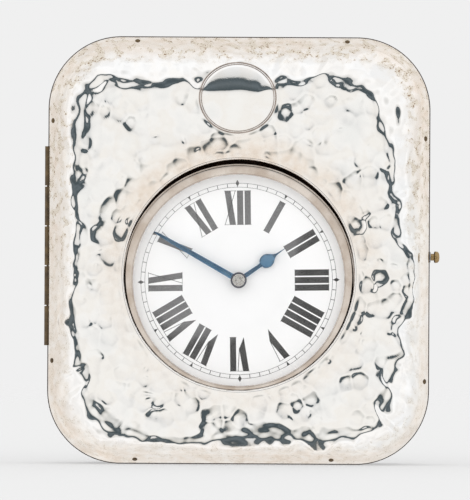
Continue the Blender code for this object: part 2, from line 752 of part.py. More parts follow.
def make_tray_lining():
    """The velvet cup in the recess."""
    radius, top = RECESS_RADIUS - CLEAR, POCKET_TOP_Z - CLEAR
    thick = LINING_THICKNESS
    outer = recess_outline(radius, POCKET_HALF_WIDTH + thick, top)
    inner = recess_outline(radius - thick, POCKET_HALF_WIDTH, top - thick)
    floor = RECESS_FLOOR_Y - CLEAR
    lining = add_plate("tray_lining", [outer], VELVET, (0, 0), TRAY_FACE_Y, floor - TRAY_FACE_Y)
    hollow = front_tool("lining_hollow", [inner], TRAY_FACE_Y - OVERRUN, floor - thick)
    return combine(lining, [hollow], "DIFFERENCE")


# Hinges


def leaf_section(radius, length, thickness):
    """A hinge leaf's section: a barrel with a plate along +X, flush with its +Y side."""
    meet = asin((radius - thickness) / radius)
    barrel = [
        (radius * cos(angle), radius * sin(angle))
        for angle in (
            pi / 2 + (1.5 * pi + meet) * step / SMALL_ROUND_STEPS for step in range(SMALL_ROUND_STEPS + 1)
        )
    ]
    return barrel + [(length, radius - thickness), (length, radius)]


def make_leaf(name, finish, location, axes, sizes, first_slot):
    """A leaf with every other knuckle, from first_slot on, cut away for its partner."""
    radius, width, thickness, length, knuckles, pin_radius = sizes
    section = leaf_section(radius, width, thickness)
    leaf = add_part(name, flat_mesh(name, [section], length), finish, location, axes)
    pitch = length / knuckles
    tools = []
    for slot in range(first_slot, knuckles, 2):
        start = slot * pitch - length / 2 - (CLEAR / 2 if slot else OVERRUN)
        end = (slot + 1) * pitch - length / 2 + (CLEAR / 2 if slot < knuckles - 1 else OVERRUN)
        gap = cylinder_mesh("knuckle_gap", radius + CLEAR, start, end, ROUND_STEPS)
        tools.append(add_cutter(f"{name}_gap_{slot}", gap, location, axes))
    reach = length / 2 + OVERRUN
    bore = cylinder_mesh("pin_bore", pin_radius + RUNNING_FIT, -reach, reach)
    tools.append(add_cutter(f"{name}_bore", bore, location, axes))
    return combine(leaf, tools, "DIFFERENCE")


def make_cover_hinge(tray_pieces, cover_pieces):
    place_at = (HINGE_X, PARTING_Y, HINGE_CENTRE_Z)
    sizes = (
        HINGE_RADIUS, HINGE_LEAF_WIDTH, HINGE_LEAF_THICKNESS, HINGE_LENGTH, HINGE_KNUCKLES, HINGE_PIN_RADIUS
    )
    turned_over = Matrix.Rotation(pi, 3, "X")
    make_leaf("hinge_leaf_tray", BRASS, place_at, UPRIGHT, sizes, 1)
    make_leaf("hinge_leaf_cover", BRASS, place_at, turned_over, sizes, 0)
    pin = cylinder_mesh("hinge_pin", HINGE_PIN_RADIUS, -HINGE_LENGTH / 2, HINGE_LENGTH / 2)
    add_part("hinge_pin", pin, STEEL, place_at)
    half = HINGE_LENGTH / 2 + CLEAR
    far, depth = HINGE_LEAF_WIDTH + CLEAR, HINGE_RADIUS + CLEAR
    notch = add_cutter("hinge_notch", cylinder_mesh("hinge_notch", depth, -half, half), place_at)
    tray_bed = box_mesh("tray_leaf_bed", (-OVERRUN, -OVERRUN, -half), (far, depth, half))
    cover_bed = box_mesh("cover_leaf_bed", (-OVERRUN, -depth, -half), (far, OVERRUN, half))
    tray_tools = [notch, add_cutter("tray_leaf_bed", tray_bed, place_at)]
    cover_tools = [notch, add_cutter("cover_leaf_bed", cover_bed, place_at)]
    for piece in tray_pieces:
        combine(piece, tray_tools, "DIFFERENCE")
    for piece in cover_pieces:
        combine(piece, cover_tools, "DIFFERENCE")


def strut_outline():
    """The strut seen from behind, from its foot to just under the hinge, origin at the hinge."""
    top = -(STRUT_RADIUS + CLEAR)
    foot = STRUT_FOOT_Z - STRUT_HINGE_Z
    height = top - foot
    plain = rounded_outline(STRUT_FOOT_WIDTH, height, STRUT_CORNER, (top + foot) / 2)
    narrowing = 1 - STRUT_TOP_WIDTH / STRUT_FOOT_WIDTH
    return [(x * (1 - narrowing * (z - foot) / height), z) for x, z in plain]


def make_strut():
    place_at = (0, STRUT_HINGE_Y, STRUT_HINGE_Z)
    board = flat_mesh("strut_board", [strut_outline()], STRUT_THICKNESS)
    board.transform(FACING_FRONT.to_4x4())
    board.transform(Matrix.Translation((0, STRUT_THICKNESS / 2 - STRUT_RADIUS, 0)))
    add_part("strut_board", board, LEATHER, place_at)
    sizes = (
        STRUT_RADIUS,
        STRUT_LEAF_WIDTH,
        STRUT_LEAF_THICKNESS,
        STRUT_HINGE_LENGTH,
        STRUT_KNUCKLES,
        STRUT_PIN_RADIUS,
    )
    fixed_axes = Matrix(((0, 0, 1), (0, -1, 0), (1, 0, 0)))
    moving_axes = Matrix(((0, 0, 1), (0, 1, 0), (-1, 0, 0)))
    make_leaf("strut_leaf_fixed", BRASS, place_at, fixed_axes, sizes, 1)
    make_leaf("strut_leaf_moving", BRASS, place_at, moving_axes, sizes, 0)
    half = STRUT_HINGE_LENGTH / 2
    pin = cylinder_mesh("strut_pin", STRUT_PIN_RADIUS, -half, half)
    add_part("strut_pin", pin, STEEL, place_at, ALONG_X)


# Push-button catch


def catch_limits():
    """Inner wall of the catch pocket, and the bar's two faces, along X."""
    bar_left = CATCH_BAR_X - CATCH_BAR_THICKNESS / 2
    return bar_left - CATCH_POCKET_WIDTH, bar_left, CATCH_BAR_X + CATCH_BAR_THICKNESS / 2


def make_button(bar_right):
    """The brass button and its stem, turned about X, with its head outside the case."""
    side = CASE_WIDTH / 2
    head_start = side + COLLAR_STAND + BUTTON_TRAVEL + CLEAR
    profile = [
        (BUTTON_HEAD_RADIUS * out, head_start + BUTTON_HEAD_LENGTH * along)
        for out, along in BUTTON_HEAD_SHARES
    ]
    profile += [
        (BUTTON_STEM_RADIUS, head_start),
        (BUTTON_STEM_RADIUS, bar_right + CLEAR),
        (0, bar_right + CLEAR),
    ]
    mesh = turned_mesh("push_button", profile, False, SMALL_ROUND_STEPS)
    shade_round(add_part("push_button", mesh, BRASS, (0, BUTTON_Y, BUTTON_Z), ALONG_X))


def make_collar(pocket_right):
    """The bush that the button's stem slides in."""
    inner = BUTTON_STEM_RADIUS + RUNNING_FIT
    outer_end = CASE_WIDTH / 2 + COLLAR_STAND
    start = pocket_right
    profile = ring_profile(inner, COLLAR_RADIUS, outer_end, start)
    mesh = turned_mesh("button_collar", profile, True, SMALL_ROUND_STEPS)
    add_part("button_collar", mesh, STEEL, (0, BUTTON_Y, BUTTON_Z), ALONG_X)
    drill = cylinder_mesh("collar_hole", COLLAR_RADIUS + CLEAR, start - OVERRUN, outer_end + OVERRUN)
    return add_cutter("collar_hole", drill, (0, BUTTON_Y, BUTTON_Z), ALONG_X)


def make_catch_bar(bar_left, bar_right):
    """The bar on the stem's end. Its nose reaches into the cover."""
    tip_y = COVER_FACE_Y - CATCH_REACH
    nose_y = tip_y + CATCH_NOSE
    back_y = BUTTON_Y + BUTTON_STEM_RADIUS + CLEAR
    outline = [
        (bar_left, tip_y),
        (bar_right + CATCH_NOSE, tip_y),
        (bar_right + CATCH_NOSE, nose_y),
        (bar_right, nose_y),
        (bar_right, back_y),
        (bar_left, back_y),
    ]
    mesh = flat_mesh("catch_bar", [outline], CATCH_BAR_HEIGHT)
    return add_part("catch_bar", mesh, STEEL, (0, 0, BUTTON_Z))


def make_catch_spring(pocket_left, bar_left):
    """The coil that pushes the bar and the button back out."""
    start, end = pocket_left + CLEAR + CATCH_SPRING_WIRE, bar_left - CLEAR - CATCH_SPRING_WIRE
    curve = bpy.data.curves.new("button_spring", "CURVE")
    curve.dimensions = "3D"
    curve.bevel_depth = CATCH_SPRING_WIRE
    curve.bevel_resolution = 0
    curve.use_fill_caps = True
    curve.resolution_u = 1
    count = CATCH_SPRING_TURNS * CATCH_SPRING_STEPS
    spline = curve.splines.new("POLY")
    spline.points.add(count)
    for step, point in enumerate(spline.points):
        share = step / count
        y, z = polar(CATCH_SPRING_RADIUS, tau * CATCH_SPRING_TURNS * share)
        point.co = (start + (end - start) * share, y, z, 1)
    mesh = curve_to_mesh("button_spring", curve)
    add_part("button_spring", mesh, STEEL, (0, BUTTON_Y, BUTTON_Z))
    pressed = (end - start - BUTTON_TRAVEL) / CATCH_SPRING_TURNS - 2 * CATCH_SPRING_WIRE
    print("button spring gap, pressed", pressed)


def make_strike(bar_left, bar_right):
    """The plate in the cover whose window the catch's nose passes through."""
    half = CATCH_BAR_HEIGHT / 2 + CLEAR
    left = bar_left - BUTTON_TRAVEL - CLEAR
    right = bar_right + CATCH_NOSE + CLEAR
    border = STRIKE_BORDER
    plate = [
        (left - border, -half - border),
        (right + border, -half - border),
        (right + border, half + border),
        (left - border, half + border),
    ]
    window = [(left, -half), (left, half), (right, half), (right, -half)]
    front = COVER_FACE_Y - STRIKE_THICKNESS
    add_plate("strike_plate", [plate, window], BRASS, (0, BUTTON_Z), front, STRIKE_THICKNESS)
    top_y, face_y = COVER_FACE_Y - CATCH_REACH - CLEAR, COVER_FACE_Y + OVERRUN
    bed_low = (left - border - CLEAR, front - CLEAR, BUTTON_Z - half - border - CLEAR)
    bed_high = (right + border + CLEAR, face_y, BUTTON_Z + half + border + CLEAR)
    bed = add_cutter("strike_bed", box_mesh("strike_bed", bed_low, bed_high))
    well_low = (left, top_y, BUTTON_Z - half)
    well_high = (right, face_y, BUTTON_Z + half)
    well = add_cutter("nose_well", box_mesh("nose_well", well_low, well_high))
    notch_low = (bed_low[0], COVER_FACE_Y - OVERRUN, bed_low[2])
    notch = add_cutter("lining_notch", box_mesh("lining_notch", notch_low, bed_high))
    return bed, well, notch


def make_catch(tray_body, tray_leather, cover_frame, cover_lining):
    pocket_left, bar_left, bar_right = catch_limits()
    pocket_right = bar_right + CATCH_NOSE + CLEAR
    half = CATCH_BAR_HEIGHT / 2 + CLEAR
    back_y = BUTTON_Y + max(BUTTON_STEM_RADIUS, CATCH_SPRING_RADIUS + CATCH_SPRING_WIRE) + 2 * CLEAR
    low = (pocket_left, TRAY_FACE_Y - OVERRUN, BUTTON_Z - half)
    high = (pocket_right, back_y, BUTTON_Z + half)
    pocket = add_cutter("catch_pocket", box_mesh("catch_pocket", low, high))
    make_button(bar_right)
    hole = make_collar(pocket_right)
    make_catch_bar(bar_left, bar_right)
    make_catch_spring(pocket_left, bar_left)
    combine(tray_body, [pocket, hole], "DIFFERENCE")
    combine(tray_leather, [hole], "DIFFERENCE")
    bed, well, notch = make_strike(bar_left, bar_right)
    combine(cover_frame, [bed, well], "DIFFERENCE")
    combine(cover_lining, [notch], "DIFFERENCE")


# Watch case


def make_band():
    half, side = BAND_HALF_DEPTH, BAND_RADIUS
    profile = [
        (side - BAND_CROWNING, -half),
        (side, -half * BAND_FLAT_SHARE),
        (side, half * BAND_FLAT_SHARE),
        (side - BAND_CROWNING, half),
        (BAND_BORE, half),
        (BAND_BORE, -half),
    ]
    band = add_turned("watch_band", profile, NICKEL, True)
    drill = cylinder_mesh("stem_hole", PENDANT_BORE, BAND_BORE - OVERRUN, BAND_RADIUS + OVERRUN)
    return combine(band, [add_cutter("stem_hole", drill, (0, 0, WATCH_Z))], "DIFFERENCE")


def make_bezel():
    """The ring that holds the crystal, rounded in front, with a lip inside."""
    base = -BAND_HALF_DEPTH - CLEAR
    front = base - BEZEL_HEIGHT
    outer = BAND_RADIUS - BAND_CROWNING
    seat = CRYSTAL_RADIUS + CLEAR
    depth = front + CRYSTAL_THICKNESS + 2 * CLEAR
    width = outer - seat
    lip_back = -DIAL_FRONT - 2 * CLEAR
    profile = [(seat + width * out, front + BEZEL_HEIGHT * back) for out, back in BEZEL_FRONT_SHARES]
    profile += [
        (outer, base),
        (BEZEL_INNER, base),
        (BEZEL_INNER, lip_back),
        (BEZEL_OPENING, lip_back),
        (BEZEL_OPENING, depth),
        (seat, depth),
    ]
    return add_turned("watch_bezel", profile, NICKEL, True, steps=APERTURE_STEPS)


def make_crystal():
    """A shallow dome of even thickness, set in the bezel."""
    edge = CRYSTAL_EDGE_Y
    shares = [step / DOME_RINGS for step in range(DOME_RINGS + 1)]
    outside = [(CRYSTAL_RADIUS * s, edge - CRYSTAL_RISE * (1 - s * s)) for s in shares]
    inside = [(radius, y + CRYSTAL_THICKNESS) for radius, y in reversed(outside)]
    return add_turned("crystal", outside + inside, GLASS, False, steps=APERTURE_STEPS)


def make_dial():
    loops = [circle(DIAL_RADIUS, APERTURE_STEPS), circle(DIAL_BORE, SMALL_ROUND_STEPS)]
    return add_plate("dial", loops, ENAMEL, (0, WATCH_Z), -DIAL_FRONT, DIAL_THICKNESS)


def make_back_covers():
    """The inner dust cover, a flat disc, and the domed outer back."""
    front = COCK_FRONT + COCK_THICKNESS + CLEAR
    loops = [circle(BAND_BORE - CLEAR)]
    add_plate("dust_cover", loops, GILT, (0, WATCH_Z), front, DUST_COVER_THICKNESS)
    outer = BAND_RADIUS - BAND_CROWNING
    rim = BAND_HALF_DEPTH + CLEAR
    shares = [1 - step / DOME_RINGS for step in range(DOME_RINGS + 1)]
    inside = [(outer * s, rim + BACK_COVER_DOME * (1 - s * s)) for s in reversed(shares)]
    outside = [
        (outer * s, rim + BACK_COVER_THICKNESS + BACK_COVER_DOME * (1 - s * s)) for s in shares
    ]
    return add_turned("back_cover", inside + outside, NICKEL, False)


def make_pendant():
    """The neck that the stem runs through and the bow is pinned to."""
    foot, top = PENDANT_FOOT_Z - WATCH_Z, PENDANT_TOP_Z - WATCH_Z
    profile = [
        (PENDANT_NECK_RADIUS, top),
        (PENDANT_NECK_RADIUS, foot + PENDANT_LENGTH * PENDANT_FLARE_SHARE),
        (PENDANT_BASE_RADIUS, foot),
        (PENDANT_BORE, foot),
        (PENDANT_BORE, top),
    ]
    mesh = turned_mesh("pendant", profile, True, MEDIUM_ROUND_STEPS)
    pendant = shade_round(add_part("pendant", mesh, NICKEL, (0, 0, WATCH_Z)))
    reach = PENDANT_BASE_RADIUS + OVERRUN
    bore = cylinder_mesh("bow_bore", BOW_PIVOT_RADIUS + RUNNING_FIT, -reach, reach)
    return combine(pendant, [add_cutter("bow_bore", bore, (0, 0, BOW_PIVOT_Z), ALONG_X)], "DIFFERENCE")


def make_bow():
    """A bent wire with two inward pins, turning about X in the pendant."""
    curve = bpy.data.curves.new("bow", "CURVE")
    curve.dimensions = "3D"
    curve.bevel_depth = BOW_WIRE_RADIUS
    curve.bevel_resolution = 2
    curve.use_fill_caps = True
    curve.resolution_u = 1
    end = pi - BOW_OPENING_ANGLE
    spline = curve.splines.new("POLY")
    spline.points.add(BOW_STEPS)
    for step, point in enumerate(spline.points):
        angle = end * (2 * step / BOW_STEPS - 1)
        x, z = BOW_HALF_WIDTH * sin(angle), BOW_HALF_HEIGHT * cos(angle)
        point.co = (x, 0, z + BOW_CENTRE_Z - BOW_PIVOT_Z, 1)
    bow = add_part("bow", curve_to_mesh("bow", curve), NICKEL, (0, 0, BOW_PIVOT_Z))
    outside = BOW_HALF_WIDTH * sin(end)
    inside = PENDANT_NECK_RADIUS - BOW_PIVOT_ENTRY
    pins = []
    for side in (-1, 1):
        mesh = cylinder_mesh("bow_pin", BOW_PIVOT_RADIUS, side * inside, side * outside)
        pins.append(add_cutter(f"bow_pin_{side + 1}", mesh, (0, 0, BOW_PIVOT_Z), ALONG_X))
    return combine(shade_round(bow), pins, "UNION")


def make_crown():
    """The fluted crown, its stem and the winding pinion, all turning about Z."""
    points = []
    for flute in range(CROWN_FLUTES):
        angle = tau * flute / CROWN_FLUTES
        points.append(polar(CROWN_RADIUS, angle))
        points.append(polar(CROWN_RADIUS - CROWN_FLUTE_DEPTH, angle + pi / CROWN_FLUTES))
    middle = CROWN_FOOT_Z + CROWN_LENGTH / 2
    crown = add_part("crown", flat_mesh("crown", [points], CROWN_LENGTH), NICKEL, (0, 0, middle))
    cap_radius = CROWN_RADIUS - 2 * CROWN_FLUTE_DEPTH
    half = CROWN_LENGTH / 2
    dome = [(cap_radius * out, half + CROWN_DOME * up) for out, up in CROWN_DOME_SHARES]
    cap_mesh = turned_mesh("crown_cap", dome, False, MEDIUM_ROUND_STEPS)
    cap = add_cutter("crown_cap", cap_mesh, (0, 0, middle))
    socket = cylinder_mesh("crown_socket", STEM_RADIUS + RUNNING_FIT, -half - OVERRUN, CROWN_SOCKET - half)
    combine(crown, [cap], "UNION")
    combine(crown, [add_cutter("crown_socket", socket, (0, 0, middle))], "DIFFERENCE")


def make_stem():
    """The winding stem, with the pinion's leaves near its inner end."""
    foot = STEM_INNER_END
    top = CROWN_FOOT_Z + CROWN_SOCKET - CLEAR - WATCH_Z
    stem = cylinder_mesh("winding_stem", STEM_RADIUS, foot, top)
    add_part("winding_stem", stem, STEEL, (0, 0, WATCH_Z))
    leaves = gear_outline(WINDING_PINION_LEAVES, WINDING_MODULE, 0, LEAF_TOOTH_SHARES)
    reach = max(hypot(x, y) for x, y in leaves)
    leaves = [(x * WINDING_PINION_RADIUS / reach, y * WINDING_PINION_RADIUS / reach) for x, y in leaves]
    loops = [leaves, circle(STEM_RADIUS + RUNNING_FIT, SMALL_ROUND_STEPS)]
    mesh = flat_mesh("winding_pinion", loops, WINDING_PINION_LENGTH)
    middle = WATCH_Z + WINDING_PINION_FOOT + WINDING_PINION_LENGTH / 2
    add_part("winding_pinion", mesh, STEEL, (0, 0, middle))


# Gears


def gear_outline(teeth, module, phase, shares):
    """Teeth round a circle, one of them at the clockwise angle phase. Wheel teeth are pointed."""
    addendum, dedendum, tip, root = shares
    radius = teeth * module / 2
    pitch = tau / teeth
    low, high = radius - dedendum * module, radius + addendum * module
    points = []
    for tooth in range(teeth):
        middle = phase + tooth * pitch
        points.append(polar(low, middle - root * pitch))
        points.append(polar(high, middle - tip * pitch))
        if tip:
            points.append(polar(high, middle + tip * pitch))
        points.append(polar(low, middle + root * pitch))
    return points


def mesh_phase(direction, driver_teeth, driver_phase, teeth):
    """Phase of a gear that lies in a direction from its driver, teeth in gaps."""
    passed = (direction - driver_phase) * driver_teeth / tau
    return direction + pi - (0.5 - passed) * tau / teeth


def crossings(outer, inner):
    """The gaps between a wheel's arms."""
    gaps = []
    for arm in range(WHEEL_ARMS):
        middle = WHEEL_ARM_TURN + tau * arm / WHEEL_ARMS
        wide = pi / WHEEL_ARMS - asin(WHEEL_ARM_WIDTH / 2 / outer)
        narrow = pi / WHEEL_ARMS - asin(WHEEL_ARM_WIDTH / 2 / inner)
        rim = arc(outer, middle - wide, middle + wide, 3)
        hub = arc(inner, middle + narrow, middle - narrow, 1)
        gaps.append(rim + hub)
    return gaps


def spot(start, direction, distance):
    """A place on the movement, as (x, z) from its centre."""
    return start[0] + distance * sin(direction), start[1] + distance * cos(direction)


def world(place_on_movement):
    return place_on_movement[0], WATCH_Z + place_on_movement[1]


def gear_distance(teeth, leaves, module):
    return (teeth + leaves) * module / 2


BARREL_AT = spot((0, 0), BARREL_DIRECTION, gear_distance(BARREL_TEETH, CENTRE_LEAVES, BARREL_MODULE))
THIRD_AT = spot((0, 0), THIRD_DIRECTION, gear_distance(CENTRE_TEETH, THIRD_LEAVES, CENTRE_MODULE))
FOURTH_AT = spot(THIRD_AT, FOURTH_DIRECTION, gear_distance(THIRD_TEETH, FOURTH_LEAVES, THIRD_MODULE))
ESCAPE_AT = spot(FOURTH_AT, ESCAPE_DIRECTION, gear_distance(FOURTH_TEETH, ESCAPE_LEAVES, FOURTH_MODULE))
PALLET_AT = spot(ESCAPE_AT, PALLET_DIRECTION, ESCAPE_RADIUS / cos(pi / 6))
BALANCE_AT = spot(PALLET_AT, PALLET_DIRECTION, BALANCE_DISTANCE)
COCK_FOOT_AT = spot(BALANCE_AT, COCK_FOOT_DIRECTION, COCK_FOOT_DISTANCE)
MINUTE_AT = spot((0, 0), MOTION_DIRECTION, gear_distance(CANNON_LEAVES, MINUTE_TEETH, MOTION_MODULE))
HOUR_MODULE = 2 * hypot(*MINUTE_AT) / (MINUTE_LEAVES + HOUR_TEETH)
RATCHET_REACH = gear_distance(RATCHET_TEETH, CROWN_WHEEL_TEETH, WINDING_MODULE)
CROWN_WHEEL_AT = (0, BARREL_AT[1] + sqrt(RATCHET_REACH**2 - BARREL_AT[0] ** 2))


def make_wheel(name, at, outline, rim_radius, front, finish):
    """A spoked train wheel, before its arbor is joined on."""
    loops = [outline, *crossings(rim_radius - WHEEL_RIM, WHEEL_HUB)]
    return add_plate(name, loops, finish, world(at), front, TRAIN_WHEEL_THICKNESS)


def make_pinion(name, at, leaves, module, phase, front):
    """Pinion leaves to join to an arbor."""
    mesh = flat_mesh(name, [gear_outline(leaves, module, phase, LEAF_TOOTH_SHARES)], PINION_LENGTH)
    x, z = world(at)
    return add_cutter(name, mesh, (x, front + PINION_LENGTH / 2, z), FACING_FRONT)


def arbor(name, at, radius, front, back):
    return front_rod(name, world(at), radius, front, back)


def make_train():
    """Centre, third and fourth wheels and the escape wheel, each on its pinion's arbor."""
    centre_phase = 0
    third_pinion = mesh_phase(THIRD_DIRECTION, CENTRE_TEETH, centre_phase, THIRD_LEAVES)
    fourth_pinion = mesh_phase(FOURTH_DIRECTION, THIRD_TEETH, 0, FOURTH_LEAVES)
    escape_pinion = mesh_phase(ESCAPE_DIRECTION, FOURTH_TEETH, 0, ESCAPE_LEAVES)
    wheels = (
        ("centre_wheel", (0, 0), CENTRE_TEETH, CENTRE_MODULE, CENTRE_FRONT),
        ("third_wheel", THIRD_AT, THIRD_TEETH, THIRD_MODULE, THIRD_FRONT),
        ("fourth_wheel", FOURTH_AT, FOURTH_TEETH, FOURTH_MODULE, FOURTH_FRONT),
    )
    pinions = (
        (CENTRE_LEAVES, BARREL_MODULE, centre_phase, BARREL_FRONT),
        (THIRD_LEAVES, CENTRE_MODULE, third_pinion, CENTRE_FRONT),
        (FOURTH_LEAVES, THIRD_MODULE, fourth_pinion, THIRD_FRONT),
    )
    for (name, at, teeth, module, front), leaves in zip(wheels, pinions):
        outline = gear_outline(teeth, module, 0, WHEEL_TOOTH_SHARES)
        wheel = make_wheel(name, at, outline, teeth * module / 2, front, GILT)
        pinion = make_pinion(name + "_pinion", at, *leaves)
        radius = CENTRE_ARBOR_RADIUS if at == (0, 0) else ARBOR_RADIUS
        start = MINUTE_HAND_FRONT + HAND_THICKNESS if at == (0, 0) else TRAIN_FRONT
        rod = arbor(name + "_arbor", at, radius, start, TRAIN_BACK)
        combine(wheel, [pinion, rod], "UNION")
    make_escape_wheel(escape_pinion)


def make_escape_wheel(pinion_phase):
    points = []
    pitch = tau / ESCAPE_TEETH
    for tooth in range(ESCAPE_TEETH):
        for deep, ahead in ESCAPE_TOOTH_SHARES:
            points.append(polar(ESCAPE_RADIUS - ESCAPE_TOOTH_DEPTH * deep, (tooth + ahead) * pitch))
    rim = ESCAPE_RADIUS - ESCAPE_TOOTH_DEPTH
    wheel = make_wheel("escape_wheel", ESCAPE_AT, points, rim, ESCAPE_FRONT, STEEL)
    pinion = make_pinion(
        "escape_pinion", ESCAPE_AT, ESCAPE_LEAVES, FOURTH_MODULE, pinion_phase, FOURTH_FRONT
    )
    rod = arbor("escape_arbor", ESCAPE_AT, ARBOR_RADIUS, TRAIN_FRONT, TRAIN_BACK)
    combine(wheel, [pinion, rod], "UNION")


def spiral_points(inner, outer, turns):
    """Points along an even spiral in the local XY plane."""
    count = turns * SPIRAL_STEPS
    for step in range(count + 1):
        share = step / count
        yield polar(inner + (outer - inner) * share, tau * turns * share)


def least_spiral_gap(inner, outer, turns, thickness):
    """The clear space between neighbouring turns."""
    return (outer - inner) / turns - thickness


def make_barrel():
    phase = mesh_phase(BARREL_DIRECTION, CENTRE_LEAVES, 0, BARREL_TEETH)
    teeth = gear_outline(BARREL_TEETH, BARREL_MODULE, phase, WHEEL_TOOTH_SHARES)
    loops = [teeth, circle(BARREL_BORE, SMALL_ROUND_STEPS)]
    at = world(BARREL_AT)
    barrel = add_plate("barrel", loops, GILT, at, BARREL_FRONT, BARREL_TOOTH_DEPTH)
    base = BARREL_FRONT + BARREL_TOOTH_DEPTH / 2
    floor = BARREL_FRONT + BARREL_TOOTH_DEPTH
    top = BARREL_FRONT + BARREL_HEIGHT
    inner = BARREL_DRUM_RADIUS - BARREL_WALL
    profile = [
        (BARREL_DRUM_RADIUS, base),
        (BARREL_DRUM_RADIUS, top),
        (BARREL_BORE + CLEAR, top),
        (BARREL_BORE + CLEAR, top - BARREL_WALL),
        (inner, top - BARREL_WALL),
        (inner, floor),
        (inner, base),
    ]
    drum_mesh = turned_mesh("barrel_drum", [(r, -y) for r, y in profile], True, MEDIUM_ROUND_STEPS)
    drum = add_cutter("barrel_drum", drum_mesh, (at[0], 0, at[1]), FACING_FRONT)
    combine(barrel, [drum], "UNION")
    make_mainspring(at, (floor + top - BARREL_WALL) / 2)


def make_mainspring(at, y):
    """The coiled ribbon inside the barrel."""
    curve = bpy.data.curves.new("mainspring", "CURVE")
    curve.dimensions = "3D"
    curve.extrude = MAINSPRING_HEIGHT / 2
    curve.resolution_u = 1
    spline = curve.splines.new("POLY")
    points = list(spiral_points(MAINSPRING_INNER, MAINSPRING_OUTER, MAINSPRING_TURNS))
    spline.points.add(len(points) - 1)
    for point, (x, z) in zip(spline.points, points):
        point.co = (x, z, 0, 1)
    mesh = curve_to_mesh("mainspring", curve)
    ribbon = add_part("mainspring", mesh, STEEL, (at[0], y, at[1]), FACING_FRONT)
    skin = ribbon.modifiers.new("Ribbon", "SOLIDIFY")
    skin.thickness = MAINSPRING_THICKNESS
    skin.offset = 0
    gap = least_spiral_gap(MAINSPRING_INNER, MAINSPRING_OUTER, MAINSPRING_TURNS, MAINSPRING_THICKNESS)
    print("mainspring gap", gap)


def make_winding_work():
    """Barrel arbor with its ratchet wheel, and the crown wheel that drives it."""
    at = world(BARREL_AT)
    arbor_front = MAIN_PLATE_BACK - PIVOT_REACH
    rod = cylinder_mesh("barrel_arbor", BARREL_ARBOR_RADIUS, -WINDING_BACK, -arbor_front, MEDIUM_ROUND_STEPS)
    add_part("barrel_arbor", rod, STEEL, (at[0], 0, at[1]), FACING_FRONT)
    direction = atan2(BARREL_AT[0] - CROWN_WHEEL_AT[0], BARREL_AT[1] - CROWN_WHEEL_AT[1])
    phase = mesh_phase(direction, CROWN_WHEEL_TEETH, 0, RATCHET_TEETH)
    ratchet = gear_outline(RATCHET_TEETH, WINDING_MODULE, phase, WHEEL_TOOTH_SHARES)
    hole = circle(BARREL_ARBOR_RADIUS + RUNNING_FIT, MEDIUM_ROUND_STEPS)
    add_plate("ratchet_wheel", [ratchet, hole], STEEL, at, WINDING_FRONT, WINDING_THICKNESS)
    crown_wheel = gear_outline(CROWN_WHEEL_TEETH, WINDING_MODULE, 0, WHEEL_TOOTH_SHARES)
    add_plate(
        "crown_wheel", [crown_wheel, hole], STEEL, world(CROWN_WHEEL_AT), WINDING_FRONT, WINDING_THICKNESS
    )


# Escapement


def turn_outline(points, direction):
    """An outline drawn with +Y as its length, turned clockwise to a direction."""
    return [
        (x * cos(direction) + y * sin(direction), y * cos(direction) - x * sin(direction)) for x, y in points
    ]


def make_pallet_fork():
    """Lever from the escape wheel to the balance, its stones just clear of the teeth."""
    span = PALLET_SPAN_RADIUS
    distance = ESCAPE_RADIUS / cos(pi / 6)
    reach = ESCAPE_RADIUS + PALLET_STONE_CLEARANCE
    stone = sqrt(reach**2 - span**2) - distance
    thin, wide = PALLET_LEVER_HALF_WIDTH, PALLET_FORK_HALF_WIDTH
    inner = span - 2 * thin
    end = PALLET_LEVER - wide
    back = PALLET_BACK
    half = [
        (inner, stone),
        (span, stone),
        (span, stone + thin),
        (inner, back),
        (thin, back + inner / 2),
        (thin, end),
        (wide, PALLET_LEVER),
        (thin, PALLET_LEVER),
        (thin / 2, end + wide / 3),
    ]
    left = [(-x, y) for x, y in reversed(half)]
    outline = turn_outline([(thin, stone / 2)] + half + left + [(-thin, stone / 2)], PALLET_DIRECTION)
    fork = add_plate("pallet_fork", [outline], STEEL, world(PALLET_AT), ESCAPE_FRONT, PALLET_THICKNESS)
    rod = arbor("pallet_arbor", PALLET_AT, ARBOR_RADIUS, TRAIN_FRONT, TRAIN_BACK)
    return combine(fork, [rod], "UNION")


def make_balance():
    """The balance with its staff, roller and roller pin."""
    inner = BALANCE_RADIUS - BALANCE_RIM
    side = asin(WHEEL_ARM_WIDTH / inner)
    near = asin(WHEEL_ARM_WIDTH / WHEEL_HUB)
    gaps = []
    for start in (WHEEL_ARM_TURN, WHEEL_ARM_TURN + pi):
        rim = arc(inner, start + side, start + pi - side, 12)
        hub = arc(WHEEL_HUB, start + pi - near, start + near, 4)
        gaps.append(rim + hub)
    at = world(BALANCE_AT)
    loops = [circle(BALANCE_RADIUS), *gaps]
    wheel = add_plate("balance_wheel", loops, GILT, at, BALANCE_FRONT, BALANCE_THICKNESS)
    staff = arbor("balance_staff", BALANCE_AT, ARBOR_RADIUS, TRAIN_FRONT, COCK_FRONT + PIVOT_REACH / 2)
    roller = front_rod("roller", at, ROLLER_RADIUS, ROLLER_FRONT, ROLLER_FRONT + ROLLER_THICKNESS)
    pin_at = spot(at, PALLET_DIRECTION, ROLLER_PIN_CIRCLE)
    pin_front = ROLLER_FRONT - ROLLER_PIN_LENGTH
    pin = front_rod("roller_pin", pin_at, ROLLER_PIN_RADIUS, pin_front, ROLLER_FRONT + ROLLER_THICKNESS / 2)
    combine(wheel, [staff, roller, pin], "UNION")


